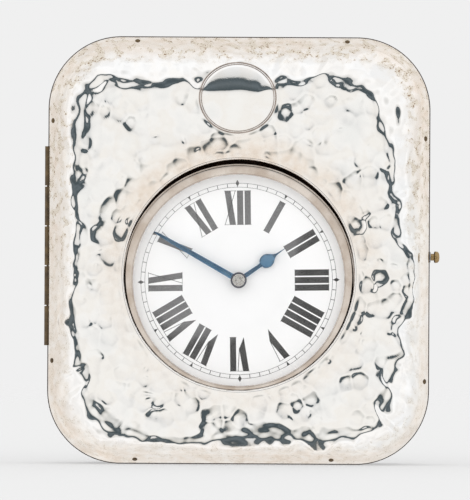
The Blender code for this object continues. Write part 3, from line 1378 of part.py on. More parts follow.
def make_hairspring():
    curve = bpy.data.curves.new("hairspring", "CURVE")
    curve.dimensions = "3D"
    curve.bevel_depth = HAIRSPRING_WIRE
    curve.bevel_resolution = 0
    curve.use_fill_caps = True
    curve.resolution_u = 1
    points = list(spiral_points(HAIRSPRING_INNER, HAIRSPRING_OUTER, HAIRSPRING_TURNS))
    spline = curve.splines.new("POLY")
    spline.points.add(len(points) - 1)
    for point, (x, z) in zip(spline.points, points):
        point.co = (x, z, 0, 1)
    x, z = world(BALANCE_AT)
    mesh = curve_to_mesh("hairspring", curve)
    add_part("hairspring", mesh, BLUED_STEEL, (x, HAIRSPRING_Y, z), FACING_FRONT)
    gap = least_spiral_gap(HAIRSPRING_INNER, HAIRSPRING_OUTER, HAIRSPRING_TURNS, 2 * HAIRSPRING_WIRE)
    print("hairspring gap", gap)


def make_balance_cock():
    """The arm over the balance, standing on a foot on the top plate."""
    direction = COCK_FOOT_DIRECTION
    start, end = (0, 0), spot((0, 0), direction, COCK_FOOT_DISTANCE)
    outline = arc(COCK_RADIUS, direction + pi / 2, direction + 1.5 * pi, 10, start)
    outline += arc(COCK_RADIUS, direction - pi / 2, direction + pi / 2, 10, end)
    hole = circle(ARBOR_RADIUS + RUNNING_FIT, SMALL_ROUND_STEPS)
    at = world(BALANCE_AT)
    cock = add_plate("balance_cock", [outline, hole], GILT, at, COCK_FRONT, COCK_THICKNESS)
    foot_at = world(COCK_FOOT_AT)
    front, back = TOP_PLATE_BACK + CLEAR, COCK_FRONT + COCK_THICKNESS / 2
    foot = front_rod("cock_foot", foot_at, COCK_RADIUS, front, back, MEDIUM_ROUND_STEPS)
    return combine(cock, [foot], "UNION")


def pivot_holes():
    places = (THIRD_AT, FOURTH_AT, ESCAPE_AT, PALLET_AT, BALANCE_AT)
    return [circle(ARBOR_RADIUS + RUNNING_FIT, SMALL_ROUND_STEPS, at) for at in places]


def make_plates():
    """The main plate with its pillars and the minute wheel's stud, and the top plate."""
    barrel_hole = circle(BARREL_ARBOR_RADIUS + RUNNING_FIT, MEDIUM_ROUND_STEPS, BARREL_AT)
    cannon_hole = circle(CENTRE_ARBOR_RADIUS + RUNNING_FIT, SMALL_ROUND_STEPS)
    loops = [circle(PLATE_RADIUS, APERTURE_STEPS), barrel_hole, cannon_hole, *pivot_holes()]
    main = add_plate("main_plate", loops, GILT, (0, WATCH_Z), MAIN_PLATE_FRONT, MAIN_PLATE_THICKNESS)
    middle = MAIN_PLATE_FRONT + MAIN_PLATE_THICKNESS / 2
    joins = [
        front_rod(
            f"pillar_{number}",
            world(polar(PILLAR_CIRCLE, angle)),
            PILLAR_RADIUS,
            middle,
            TOP_PLATE_FRONT - CLEAR,
        )
        for number, angle in enumerate(PILLAR_ANGLES)
    ]
    joins.append(front_rod("minute_stud", world(MINUTE_AT), STUD_RADIUS, HOUR_WHEEL_FRONT, middle))
    combine(main, joins, "UNION")
    notch_foot = STEM_INNER_END - CLEAR
    slot = WINDING_PINION_RADIUS + CLEAR
    meet = asin(slot / TOP_PLATE_RADIUS)
    rim = arc(TOP_PLATE_RADIUS, meet, tau - meet, APERTURE_STEPS)
    outline = rim + [(-slot, notch_foot), (slot, notch_foot)]
    loops = [outline, barrel_hole, cannon_hole, *pivot_holes()]
    top = add_plate("top_plate", loops, GILT, (0, WATCH_Z), TOP_PLATE_FRONT, TOP_PLATE_THICKNESS)
    start, seat = TOP_PLATE_FRONT + TOP_PLATE_THICKNESS / 2, world(CROWN_WHEEL_AT)
    post = front_rod("crown_wheel_post", seat, BARREL_ARBOR_RADIUS, start, WINDING_BACK, MEDIUM_ROUND_STEPS)
    combine(top, [post], "UNION")


# Motion work and hands


def make_motion_work():
    """Cannon pinion, minute wheel with its pinion, and hour wheel with its pipe."""
    bore = CENTRE_ARBOR_RADIUS + RUNNING_FIT
    leaves = gear_outline(CANNON_LEAVES, MOTION_MODULE, 0, LEAF_TOOTH_SHARES)
    loops = [leaves, circle(bore, SMALL_ROUND_STEPS)]
    cannon = add_plate("cannon_pinion", loops, STEEL, (0, WATCH_Z), CANNON_FRONT, CANNON_LEAF_LENGTH)
    tube_front = MINUTE_HAND_FRONT + HAND_THICKNESS + RUNNING_FIT
    tube = ring_profile(bore, CANNON_RADIUS, tube_front, CANNON_FRONT + CANNON_LEAF_LENGTH / 2)
    combine(cannon, [turned_tool("cannon_tube", tube)], "UNION")
    wheel_phase = mesh_phase(MOTION_DIRECTION, CANNON_LEAVES, 0, MINUTE_TEETH)
    outline = gear_outline(MINUTE_TEETH, MOTION_MODULE, wheel_phase, WHEEL_TOOTH_SHARES)
    stud_hole = circle(STUD_RADIUS + RUNNING_FIT, SMALL_ROUND_STEPS)
    at = world(MINUTE_AT)
    wheel = add_plate(
        "minute_wheel", [outline, stud_hole], GILT, at, MINUTE_WHEEL_FRONT, MINUTE_WHEEL_THICKNESS
    )
    pinion = gear_outline(MINUTE_LEAVES, HOUR_MODULE, 0, LEAF_TOOTH_SHARES)
    depth = MINUTE_WHEEL_FRONT + MINUTE_WHEEL_THICKNESS / 2 - HOUR_WHEEL_FRONT
    mesh = flat_mesh("minute_pinion", [pinion, stud_hole], depth)
    middle = (at[0], HOUR_WHEEL_FRONT + depth / 2, at[1])
    combine(wheel, [add_cutter("minute_pinion", mesh, middle, FACING_FRONT)], "UNION")
    make_hour_wheel()


def turned_tool(name, profile):
    """A turned shape on the watch's axis, to join to a piece."""
    mesh = turned_mesh(name, [(r, -y) for r, y in profile], True, MEDIUM_ROUND_STEPS)
    return add_cutter(name, mesh, (0, 0, WATCH_Z), FACING_FRONT)


def make_hour_wheel():
    phase = mesh_phase(MOTION_DIRECTION + pi, MINUTE_LEAVES, 0, HOUR_TEETH)
    inner = CANNON_RADIUS + RUNNING_FIT
    outline = gear_outline(HOUR_TEETH, HOUR_MODULE, phase, WHEEL_TOOTH_SHARES)
    loops = [outline, circle(inner, MEDIUM_ROUND_STEPS)]
    wheel = add_plate("hour_wheel", loops, GILT, (0, WATCH_Z), HOUR_WHEEL_FRONT, HOUR_WHEEL_THICKNESS)
    pipe_front = HOUR_HAND_FRONT + HAND_THICKNESS / 2
    pipe = ring_profile(inner, HOUR_PIPE_RADIUS, pipe_front, HOUR_WHEEL_FRONT + HOUR_WHEEL_THICKNESS / 2)
    return combine(wheel, [turned_tool("hour_pipe", pipe)], "UNION")


def both_sides(stations):
    """An outline symmetric about +Y, from (distance along, half width) pairs."""
    right = [(half, along) for along, half in stations]
    return right + [(-half, along) for along, half in reversed(stations) if half > 0]


def bulge(centre, radius, start, end, steps):
    """Stations round a disc on the hand's length, between two angles from its outer end."""
    for step in range(steps + 1):
        angle = start + (end - start) * step / steps
        yield centre + radius * cos(angle), radius * sin(angle)


def minute_hand_outline():
    root = asin(MINUTE_HAND_ROOT / MINUTE_BOSS_RADIUS)
    stations = list(bulge(0, MINUTE_BOSS_RADIUS, pi, root, 10))
    stations.append((MINUTE_HAND_LENGTH * MINUTE_HAND_POINT_SHARE, MINUTE_HAND_TIP))
    stations.append((MINUTE_HAND_LENGTH, 0))
    return both_sides(stations[1:])


def hour_hand_outline():
    root = asin(HOUR_HAND_STEM / HOUR_BOSS_RADIUS)
    neck = asin(HOUR_HAND_STEM * HOUR_HAND_NECK_SHARE / HOUR_MOON_RADIUS)
    shoulder = asin(HOUR_SPEAR_HALF_WIDTH / HOUR_MOON_RADIUS)
    stations = list(bulge(0, HOUR_BOSS_RADIUS, pi, root, 10))
    stations += bulge(HOUR_MOON_DISTANCE, HOUR_MOON_RADIUS, pi - neck, shoulder, 10)
    stations.append((HOUR_HAND_LENGTH, 0))
    return both_sides(stations[1:])


def make_hands():
    minute = turn_outline(minute_hand_outline(), MINUTE_HAND_ANGLE)
    cap_hole = circle(CENTRE_ARBOR_RADIUS + RUNNING_FIT, SMALL_ROUND_STEPS)
    add_plate(
        "minute_hand", [minute, cap_hole], BLUED_STEEL, (0, WATCH_Z), MINUTE_HAND_FRONT, HAND_THICKNESS
    )
    hour = turn_outline(hour_hand_outline(), HOUR_HAND_ANGLE)
    pipe_hole = circle(HOUR_PIPE_RADIUS + RUNNING_FIT, MEDIUM_ROUND_STEPS)
    add_plate("hour_hand", [hour, pipe_hole], BLUED_STEEL, (0, WATCH_Z), HOUR_HAND_FRONT, HAND_THICKNESS)


clear_scene()
PARTS = new_collection("goliath_watch")
CUTTERS = new_collection("cutters")

silver_front = make_silver_front()
cover_frame = make_cover_frame()
cover_lining = make_cover_lining()
make_silver_pins(silver_front, cover_frame)
tray_leather = make_tray_leather()
tray_body = make_tray_body()
make_tray_lining()
make_cover_hinge([tray_body, tray_leather], [cover_frame])
make_strut()
make_catch(tray_body, tray_leather, cover_frame, cover_lining)

make_band()
make_bezel()
make_crystal()
make_dial()
make_back_covers()
make_pendant()
make_bow()
make_crown()
make_stem()

make_plates()
make_train()
make_barrel()
make_winding_work()
make_pallet_fork()
make_balance()
make_hairspring()
make_balance_cock()
make_motion_work()
make_hands()
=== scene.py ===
"""Looks of the goliath watch in its silver-fronted travelling case.

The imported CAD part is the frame. The hammered silver sheet, the leather, the glass, the dial print,
the hands, the button and the round pieces of the watch are modelled here as finer meshes that stand
for their CAD nodes. The other nodes keep their CAD shape and get a finish.
Lengths are in metres, and a table in another unit says so.
"""

import json
from math import cos, hypot, pi, radians, sin, tau

import bpy
import numpy as np
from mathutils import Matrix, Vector


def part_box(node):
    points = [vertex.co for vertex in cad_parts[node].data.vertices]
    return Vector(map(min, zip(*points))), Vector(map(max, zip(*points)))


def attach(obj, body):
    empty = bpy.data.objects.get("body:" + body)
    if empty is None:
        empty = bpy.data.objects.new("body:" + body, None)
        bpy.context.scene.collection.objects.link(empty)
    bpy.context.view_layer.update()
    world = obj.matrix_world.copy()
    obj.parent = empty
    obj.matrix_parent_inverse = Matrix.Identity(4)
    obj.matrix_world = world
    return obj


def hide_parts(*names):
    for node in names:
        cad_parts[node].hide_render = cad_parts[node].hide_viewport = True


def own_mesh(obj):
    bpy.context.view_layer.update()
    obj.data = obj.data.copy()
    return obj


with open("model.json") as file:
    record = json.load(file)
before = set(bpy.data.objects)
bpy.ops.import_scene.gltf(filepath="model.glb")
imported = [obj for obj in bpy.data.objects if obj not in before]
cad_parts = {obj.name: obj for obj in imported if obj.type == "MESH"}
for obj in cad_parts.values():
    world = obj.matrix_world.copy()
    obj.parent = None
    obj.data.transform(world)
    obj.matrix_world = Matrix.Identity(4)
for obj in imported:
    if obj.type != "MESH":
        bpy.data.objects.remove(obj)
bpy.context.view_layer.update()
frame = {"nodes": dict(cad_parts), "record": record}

MM = 0.001
SEED = 7

# Camera: a distant level view of the front, matched to the photograph
VIEW_DISTANCE = 2000 * MM
VIEW_PLANE_Y = -7 * MM
VIEW_HEIGHT = 131.6 * MM
VIEW_X = -1.0 * MM
VIEW_Z = 56.43 * MM
VIEW_ROLL = radians(0.3)
SENSOR = 36

# Studio: pale light, and colours that only polished metal mirrors
BACKDROP = 0.871
LIGHT_LEVEL = 1.35
FLOOR_COLOUR = BACKDROP / LIGHT_LEVEL
FLOOR_COVER = 0.45
FLOOR_RADIUS = 1.2
FLOOR_FADE = 0.7
FLOOR_DROP = 0.05 * MM
FLOOR_STEPS = 96
BAND_TILT = radians(3)
BAND_WAVE = 0.04
BAND_WAVE_SIZE = 0.2
CLOUD_SIZE = 0.3125
CLOUD_LEVEL = 0.9
SIDE = (0.93, 0.925, 0.91)
BRIGHT = 1.01
FRONT = (0.92, 0.91, 0.885)
FRONT_EDGE = (0.86, 0.85, 0.83)
SHADE = (0.7, 0.7, 0.69)
LOW_GREY = (0.7, 0.7, 0.68)
GREY = (0.46, 0.46, 0.44)
SLATE = (0.07, 0.09, 0.1)
PALE_SLATE = (0.13, 0.155, 0.17)

# The mirrored colours, by how much a direction points at the front: 0 aside, 1 straight ahead
OUTER_BAND = ((0.0, SIDE), (0.3, BRIGHT), (0.77, BRIGHT), (0.853, SHADE), (0.863, SLATE),
              (0.889, PALE_SLATE), (0.908, SLATE))
BAND_ABOVE = (*OUTER_BAND, (0.925, SLATE), (0.937, SHADE), (0.975, FRONT_EDGE), (1.0, FRONT))
BAND_BELOW = (*OUTER_BAND, (0.924, SLATE), (0.936, GREY), (0.957, LOW_GREY), (0.984, FRONT))

# Silver sheet: a rounded flange at its edge, then a sloping rim
SHEET_LOW, SHEET_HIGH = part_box("silver_front")
CASE_CENTRE_Z = (SHEET_LOW[2] + SHEET_HIGH[2]) / 2
SHEET_HALF_X = (SHEET_HIGH[0] - SHEET_LOW[0]) / 2
SHEET_HALF_Z = (SHEET_HIGH[2] - SHEET_LOW[2]) / 2
SHEET_CORNER = 19 * MM
SHEET_OUTLINE = (SHEET_HALF_X, SHEET_HALF_Z, SHEET_CORNER)
SHEET_EDGE = 0.2 * MM
SHEET_EDGE_Y = SHEET_HIGH[1] - SHEET_EDGE
SHEET_RISE = SHEET_EDGE_Y - SHEET_LOW[1]
SHEET_BACKSET = 0.12 * MM
SHEET_STEPS = 720
FLANGE_WIDTH = 2.4 * MM
FLANGE_SHARE = 0.45
FLANGE_POWER = 0.9
RIM_START_SLOPE = 0.36
RIM_END_SLOPE = 0.34
RIM_LEAST_WIDTH = 0.8 * MM
RIM_WAVE = 0.45 * MM
FLANGE_ROWS = 10
ROW_STEP = 0.28 * MM
FIELD_INSET = 14 * MM
FIELD_ROWS = 75

# The turn from the rim into the field: its slope falls slowest where it mirrors the dark band
TURN_STEPS = 100
TURN_PLACES = np.linspace(0, 1, TURN_STEPS + 1)
TURN_SLOPES = np.interp(TURN_PLACES, (0, 0.12, 0.84, 1), (RIM_END_SLOPE, 0.29, 0.18, 0))
TURN_RISES = np.concatenate([[0], np.cumsum((TURN_SLOPES[1:] + TURN_SLOPES[:-1]) / 2)]) / TURN_STEPS
TURN_BEFORE_SHARE = 0.5
TURN_LEAST_WIDTH = 0.9 * MM
TURN_WIDENING = 0.85 * MM

# Round opening: from a start radius inwards the field falls steeply, then gently, less so below
OPENING = (0.1 * MM, 49.9 * MM)
OPENING_RADIUS = 30.25 * MM
LIP_ROUND = 0.55 * MM
LIP_DEPTH = 1.5 * MM
LIP_ROWS = 5
DIP_RADIUS = 36.2 * MM
DIP_LEFT = 4.2 * MM
DIP_WAVE = 0.6 * MM
STEEP_WIDTH = 2.8 * MM
STEEP_SLOPE = 0.125
GENTLE_WIDTH = 6 * MM
GENTLE_SLOPE = 0.08
DIP_BELOW_SHARE = 0.15

# Bare oval above the opening
CARTOUCHE = (-0.5 * MM, 96.3 * MM)
CARTOUCHE_REACH = (10 * MM, 9.2 * MM)
CARTOUCHE_RISE = 0.12 * MM
BARE_SHARE = 1.14
LEVEL_SHARE = 1.3

# The photograph's scale, for features measured on it
PHOTO_PIXEL = 0.2632 * MM
PHOTO_MIDDLE_X = 238.8
PHOTO_MIDDLE_Y = 250.5
PHOTO_MIDDLE_Z = 56.3 * MM

# Hammer marks
NICKS = 150
MARK_PITCH = 3.3 * MM
MARK_JITTER = 0.34
MARK_CURVE = 10 * MM
MARK_CURVE_SHARES = (0.75, 1.6)
MARK_REACH_SHARES = (0.6, 0.9)
MARK_BLEND = 0.032 * MM
MARK_TABLE = 48
POWER_LIMIT = 40
MARKS_BEFORE_CREASE = 1.2 * MM
MARKS_PAST_CREASE = 0.5 * MM
FAINT_SHARE = 0.25
MARKS_FADE_RADII = (30.9 * MM, 32.4 * MM)
SWELL = 0.2 * MM
NOISE_TABLE = 64

# Pins through the sheet's edge
PIN_INSET = 1.0 * MM
PIN_HEIGHT = 0.5 * MM
PIN_STEP = 0.3 * MM
PIN_RADIUS = 0.72 * MM
PIN_SINK = 0.1 * MM

# Button and its spring
SPRING_RADIUS = 1.2 * MM
SPRING_WIRE = 0.2 * MM
SPRING_TURNS = 3

# Watch, measured from its centre
WATCH_Z = 48.5 * MM
WATCH_STEPS = 288
BOSS_STEPS = 64
DIAL_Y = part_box("dial")[0][1]
PRINT_THICKNESS = 0.02 * MM
NUMERAL_OUTER = 23.7 * MM
NUMERAL_INNER = 14.8 * MM
STROKE = 1.6 * MM
STROKE_GAP = 0.38 * MM
HAIRLINE = 0.16 * MM
SERIF = 0.12 * MM
GLYPH_WIDTHS = {"I": STROKE, "V": 3.0 * MM, "X": 2.9 * MM}
DIAL_TURN = radians(-1.0)
DIAL_DROP = 0.2 * MM
TRACK_INNER = 24.65 * MM
TRACK_OUTER = 25.7 * MM
MINUTE_ANGLE = 1.6644 * pi
HOUR_ANGLE = 0.3072 * pi
HAND_FORWARD = 0.2 * MM
HAND_FLAT_SHARE = 0.82
HAND_EDGE = 0.06 * MM
HAND_RIDGE = 0.1 * MM
HAND_RIDGE_SHARE = 0.16
HAND_BACK = 0.14 * MM

# Case behind the silver
CASE_STEPS = 480
LEATHER_CORNER = 19.3 * MM
LEATHER_ROUND = 1.3 * MM
WINDOW_RADIUS = 31.0 * MM
WINDOW_FRONT_Y = -14.2 * MM
FINE_EDGE = 0.03 * MM
EASED_EDGE = 0.15 * MM
EDGE_ANGLE = 40


def smooth(value, low, high):
    """A soft step: 0 up to low, 1 from high on."""
    share = np.clip((value - low) / (high - low), 0, 1)
    return share * share * (3 - 2 * share)


def soft_noise(x, z, size, seed):
    """Smooth random waves of about that size, between -1 and 1."""
    n = NOISE_TABLE
    table = np.random.default_rng(seed).uniform(-1, 1, (n, n))
    u, v = np.asarray(x) / size, np.asarray(z) / size
    i, j = np.floor(u).astype(int), np.floor(v).astype(int)
    fu, fv = smooth(u - i, 0, 1), smooth(v - j, 0, 1)
    low = table[i % n, j % n] * (1 - fu) + table[(i + 1) % n, j % n] * fu
    high = table[i % n, (j + 1) % n] * (1 - fu) + table[(i + 1) % n, (j + 1) % n] * fu
    return low * (1 - fv) + high * fv


# Finishes


class Nodes:
    """Adds nodes to a tree. An input takes an output to link, or a number or colour to set."""

    def __init__(self, tree, coordinates):
        self.tree = tree
        self.place = self.add("ShaderNodeTexCoord").outputs[coordinates]

    def add(self, kind, inputs=None, **settings):
        node = self.tree.nodes.new(kind)
        for name, value in settings.items():
            setattr(node, name, value)
        for name, value in (inputs or {}).items():
            self.feed(node.inputs[name], value)
        return node

    def feed(self, socket, value):
        if isinstance(value, bpy.types.NodeSocket):
            self.tree.links.new(value, socket)
        elif socket.type == "RGBA":
            socket.default_value = (*self.as_colour(value), 1)
        else:
            socket.default_value = value

    def as_colour(self, value):
        return value if isinstance(value, tuple) else (value, value, value)

    def math(self, operation, *values):
        return self.add("ShaderNodeMath", dict(enumerate(values)), operation=operation).outputs["Value"]

    def sum_of(self, *terms):
        """The sum of two outputs, each times its weight."""
        return self.math("ADD", *[self.math("MULTIPLY", output, weight) for output, weight in terms])

    def length(self, vector):
        return self.add("ShaderNodeVectorMath", {0: vector}, operation="LENGTH").outputs["Value"]

    def noise(self, size, detail=3, place=None):
        inputs = {"Scale": 1 / size, "Detail": detail, "Vector": place or self.place}
        return self.add("ShaderNodeTexNoise", inputs).outputs["Fac"]

    def ramp(self, value, stops):
        """Colours or levels at places between 0 and 1."""
        node = self.add("ShaderNodeValToRGB", {"Fac": value})
        elements = node.color_ramp.elements
        while len(elements) < len(stops):
            elements.new(1)
        for element, (at, colour) in zip(elements, stops):
            element.position = at
            element.color = (*self.as_colour(colour), 1)
        return node.outputs["Color"]

    def mix(self, share, first, second, blend="MIX"):
        node = self.add("ShaderNodeMix", {"Factor": share}, data_type="RGBA", blend_type=blend)
        for socket, value in zip([s for s in node.inputs if s.type == "RGBA"], (first, second)):
            self.feed(socket, value)
        return [s for s in node.outputs if s.type == "RGBA"][0]


class Finish(Nodes):
    """A procedural material with one Principled shader."""

    def __init__(self, name, colour, roughness, metallic=0.0):
        self.material = bpy.data.materials.new(name)
        self.material.use_nodes = True
        super().__init__(self.material.node_tree, "Object")
        self.shader = self.tree.nodes["Principled BSDF"]
        self.set("Base Color", colour)
        self.set("Roughness", roughness)
        self.set("Metallic", metallic)

    def set(self, name, value):
        self.feed(self.shader.inputs[name], value)

    def colour(self, output):
        self.set("Base Color", output)

    def gloss(self, value, low, high, high_place=0.7):
        """Roughness between two levels, by an output."""
        self.set("Roughness", self.ramp(value, [(0.3, low), (high_place, high)]))

    def bump(self, height, depth, strength):
        inputs = {"Height": height, "Distance": depth, "Strength": strength}
        self.set("Normal", self.add("ShaderNodeBump", inputs).outputs["Normal"])

    def stretch(self, scale):
        return self.add("ShaderNodeMapping", {"Vector": self.place, "Scale": scale}).outputs["Vector"]

    def away(self, across, up, reach_across, reach_up):
        """Distance from a place on the dial, in shares of the two reaches."""
        inputs = {"Vector": self.place, "Location": (across, 0, WATCH_Z + up)}
        inputs["Scale"] = (reach_across, 1, reach_up)
        node = self.add("ShaderNodeMapping", inputs, vector_type="TEXTURE")
        return self.length(node.outputs["Vector"])

    def cells(self, size):
        node = self.add("ShaderNodeTexVoronoi", {"Vector": self.place, "Scale": 1 / size})
        return node.outputs["Distance"]

    def mask(self, name):
        return self.add("ShaderNodeAttribute", attribute_name=name).outputs["Fac"]


def hammered_silver():
    """Polished silver, warmer where tarnish is left: along the outer edge and round the opening."""
    f = Finish("hammered_silver", (0.97, 0.96, 0.945), 0.04, 1)
    broad = f.noise(7 * MM)
    clean = f.ramp(broad, [(0.3, (0.985, 0.98, 0.97)), (0.47, (0.965, 0.945, 0.92)),
                           (0.55, (0.985, 0.98, 0.975)), (0.7, (0.94, 0.945, 0.945))])
    warm = f.ramp(f.noise(2.4 * MM, 4), [(0.34, (0.94, 0.87, 0.8)), (0.5, (0.9, 0.79, 0.69)),
                                         (0.66, (0.82, 0.69, 0.57))])
    veil = f.math("MULTIPLY", f.mask("tarnish"), f.ramp(broad, [(0.3, 0.5), (0.62, 1.0)]))
    blotches = f.ramp(f.noise(2.1 * MM, 2), [(0.5, 0.0), (0.6, 1.0)])
    blotch = f.math("MULTIPLY", f.mask("speckle"), blotches)
    stained = f.mix(f.math("MULTIPLY", blotch, 0.75), f.mix(veil, clean, warm), (0.78, 0.71, 0.6))
    specks = f.ramp(f.noise(0.42 * MM), [(0.56, 0.0), (0.62, 1.0)])
    f.colour(f.mix(f.math("MULTIPLY", blotch, specks), stained, (0.33, 0.22, 0.14)))
    dull = f.sum_of((veil, 0.6), (blotch, 0.6))
    f.set("Roughness", f.ramp(dull, [(0.0, 0.03), (0.4, 0.12), (1.0, 0.35)]))
    f.bump(f.noise(0.35 * MM), 0.004 * MM, 0.5)
    return f


def metal(name, light, dark, roughness, grain=2.5 * MM):
    """A metal with cloudy wear, fine scratches and a little dirt."""
    f = Finish(name, light, roughness, 1)
    f.colour(f.ramp(f.noise(grain, 4), [(0.32, light), (0.7, dark)]))
    f.gloss(f.noise(grain / 3), roughness, roughness * 1.5, 0.75)
    f.bump(f.noise(0.12 * MM, 2), 0.002 * MM, 0.4)
    return f


def turned_metal(name, light, dark, roughness, stretch):
    """A metal with fine lines along one direction."""
    f = Finish(name, light, roughness, 1)
    lines = f.noise(0.4 * MM, 3, f.stretch(stretch))
    f.colour(f.ramp(f.noise(2 * MM), [(0.3, light), (0.72, dark)]))
    f.gloss(lines, roughness, roughness * 1.6)
    f.bump(lines, 0.004 * MM, 0.35)
    return f


def blued_steel():
    """Heat-blued steel, slightly uneven in colour."""
    f = Finish("blued_steel", (0.07, 0.16, 0.30), 0.22, 1)
    f.colour(f.ramp(f.noise(6 * MM, 1), [(0.3, (0.14, 0.3, 0.46)), (0.7, (0.045, 0.16, 0.31))]))
    f.gloss(f.noise(1.5 * MM, 2), 0.16, 0.24)
    f.bump(f.noise(0.6 * MM, 2), 0.002 * MM, 0.3)
    return f


def enamel():
    """White enamel, painted a little lighter towards the rim to offset the bezel's shade there."""
    f = Finish("enamel", (0.93, 0.93, 0.925), 0.1)
    # Painted light: the enamel gets lighter towards the rim, offsetting the shade the bezel casts on the
    # dial's edge
    outward = f.ramp(f.away(0, 0, 28 * MM, 28 * MM), [(0.45, 0.0), (0.95, 1.0)])
    middle = f.ramp(f.noise(14 * MM), [(0.3, (0.875, 0.875, 0.88)), (0.75, 0.85)])
    f.colour(f.mix(outward, middle, 0.98))
    f.gloss(f.noise(4 * MM), 0.07, 0.14)
    f.bump(f.noise(3 * MM, 2), 0.01 * MM, 0.2)
    return f


def dial_print():
    """Glossy black print. Towards the upper left it is painted grey, a painted reflection of the glass
    over it.
    """
    f = Finish("dial_print", (0.012, 0.012, 0.013), 0.35)
    away = f.away(-7 * MM, 9 * MM, 23 * MM, 25 * MM)
    # Painted reflection: the print turns grey towards the upper left, standing in for the glass's
    # reflection over it
    painted_glass_reflection = f.ramp(f.sum_of((away, 0.5), (f.noise(5 * MM, 4), 0.15)), [(0.53, 1.0), (0.6, 0.0)])
    dark = f.ramp(f.noise(0.8 * MM, 4), [(0.35, (0.012, 0.012, 0.013)), (0.7, (0.026, 0.026, 0.028))])
    grey = f.ramp(f.noise(0.6 * MM, 4), [(0.35, (0.13, 0.13, 0.133)), (0.7, (0.165, 0.165, 0.167))])
    f.colour(f.mix(painted_glass_reflection, dark, grey))
    f.gloss(f.noise(0.5 * MM), 0.3, 0.45)
    f.bump(f.noise(0.3 * MM), 0.004 * MM, 0.3)
    return f


def glass():
    """Clear glass that mirrors a little, unevenly where it is smeared."""
    f = Finish("glass", (1, 1, 1), 0.03, 1)
    f.gloss(f.noise(6 * MM), 0.02, 0.05)
    f.set("Alpha", f.ramp(f.noise(5 * MM), [(0.35, 0.02), (0.7, 0.045)]))
    return f


def leather():
    """Dark brown leather with a fine grain of cells and pores."""
    f = Finish("leather", (0.045, 0.026, 0.019), 0.5)
    f.set("Specular IOR Level", 0.35)
    grain = f.cells(0.55 * MM)
    shades = [(0.3, (0.018, 0.01, 0.007)), (0.6, (0.034, 0.019, 0.013)), (0.85, (0.06, 0.034, 0.022))]
    f.colour(f.ramp(f.sum_of((f.noise(12 * MM, 4), 0.7), (grain, 0.5)), shades))
    f.gloss(f.noise(3 * MM), 0.42, 0.62)
    f.bump(f.sum_of((grain, -0.8), (f.noise(0.25 * MM), 0.4)), 0.12 * MM, 0.7)
    return f


def wood():
    """Dark wood with its grain upright."""
    f = Finish("wood", (0.16, 0.08, 0.04), 0.5)
    f.set("Specular IOR Level", 0.25)
    lines = f.noise(0.9 * MM, 5, f.stretch((1, 1, 0.05)))
    f.colour(f.ramp(lines, [(0.3, (0.055, 0.025, 0.012)), (0.5, (0.105, 0.05, 0.023)),
                            (0.75, (0.17, 0.085, 0.04))]))
    f.gloss(lines, 0.4, 0.6)
    f.bump(lines, 0.05 * MM, 0.5)
    return f


def velvet():
    """Dark blue velvet with a pale sheen."""
    f = Finish("velvet", (0.02, 0.03, 0.11), 0.9)
    pile = f.noise(0.22 * MM, 4)
    f.colour(f.ramp(f.sum_of((f.noise(7 * MM, 4), 0.6), (pile, 0.4)),
                    [(0.35, (0.006, 0.009, 0.04)), (0.65, (0.018, 0.026, 0.09))]))
    f.gloss(pile, 0.8, 1.0)
    f.set("Sheen Weight", 0.25)
    f.set("Sheen Roughness", 0.4)
    f.set("Sheen Tint", (0.35, 0.42, 0.8))
    f.bump(pile, 0.15 * MM, 0.8)
    return f


TARNISHED = metal("tarnished_silver", (0.62, 0.54, 0.49), (0.36, 0.29, 0.25), 0.2)
DARK_BRASS = metal("dark_brass", (0.09, 0.068, 0.05), (0.2, 0.14, 0.075), 0.35, 3 * MM)
# Steel for the minute boss, darker than blued steel: partly its own dark colour, partly a painted dark
# reflection
BOSS_STEEL_PAINTED_DARK_REFLECTION = metal("dark_steel_painted_reflection", (0.045, 0.05, 0.07), (0.1, 0.1, 0.13), 0.3, 1.5 * MM)
BRIGHT_STEEL = metal("bright_steel", (0.78, 0.76, 0.73), (0.55, 0.53, 0.5), 0.22, 0.8 * MM)
DIAL_PRINT = dial_print()
FINISHES = {
    "silver": metal("plain_silver", (0.94, 0.92, 0.89), (0.8, 0.74, 0.68), 0.1),
    "nickel": metal("nickel", (0.80, 0.73, 0.67), (0.56, 0.47, 0.40), 0.08, 5 * MM),
    "gilt_brass": turned_metal("gilt_brass", (0.86, 0.65, 0.30), (0.7, 0.48, 0.2), 0.22, (1, 1, 0.1)),
    "brass": metal("aged_brass", (0.5, 0.36, 0.17), (0.3, 0.2, 0.1), 0.28, 4 * MM),
    "steel": turned_metal("steel", (0.5, 0.5, 0.51), (0.36, 0.36, 0.37), 0.25, (0.1, 1, 1)),
    "blued_steel": blued_steel(),
    "enamel": enamel(),
    "glass": glass(),
    "leather": leather(),
    "wood": wood(),
    "velvet": velvet(),
}


# Building meshes


def add_piece(name, points, faces, body, slot, replaced=(), finish=None, masks=None, sharp_from=40):
    """A modelled piece that rides on a body and stands for CAD nodes."""
    mesh = bpy.data.meshes.new(name)
    mesh.from_pydata([tuple(map(float, p)) for p in points], [], faces)
    mesh.validate()
    mesh.materials.append((finish or FINISHES[slot]).material)
    for mask, values in (masks or {}).items():
        layer = mesh.attributes.new(mask, "FLOAT", "POINT")
        layer.data.foreach_set("value", np.asarray(values, dtype=np.float32))
    item = bpy.data.objects.new(name, mesh)
    bpy.context.scene.collection.objects.link(item)
    mesh.shade_smooth()
    mesh.set_sharp_from_angle(angle=radians(sharp_from))
    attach(item, body)
    if replaced:
        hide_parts(*replaced)
    return item


def grid_faces(rows, steps, closed_rows=False):
    """Quads between rows of points that each run once round."""
    faces = []
    for row in range(rows if closed_rows else rows - 1):
        a, b = row * steps, (row + 1) % rows * steps
        faces += [(a + i, a + (i + 1) % steps, b + (i + 1) % steps, b + i) for i in range(steps)]
    return faces


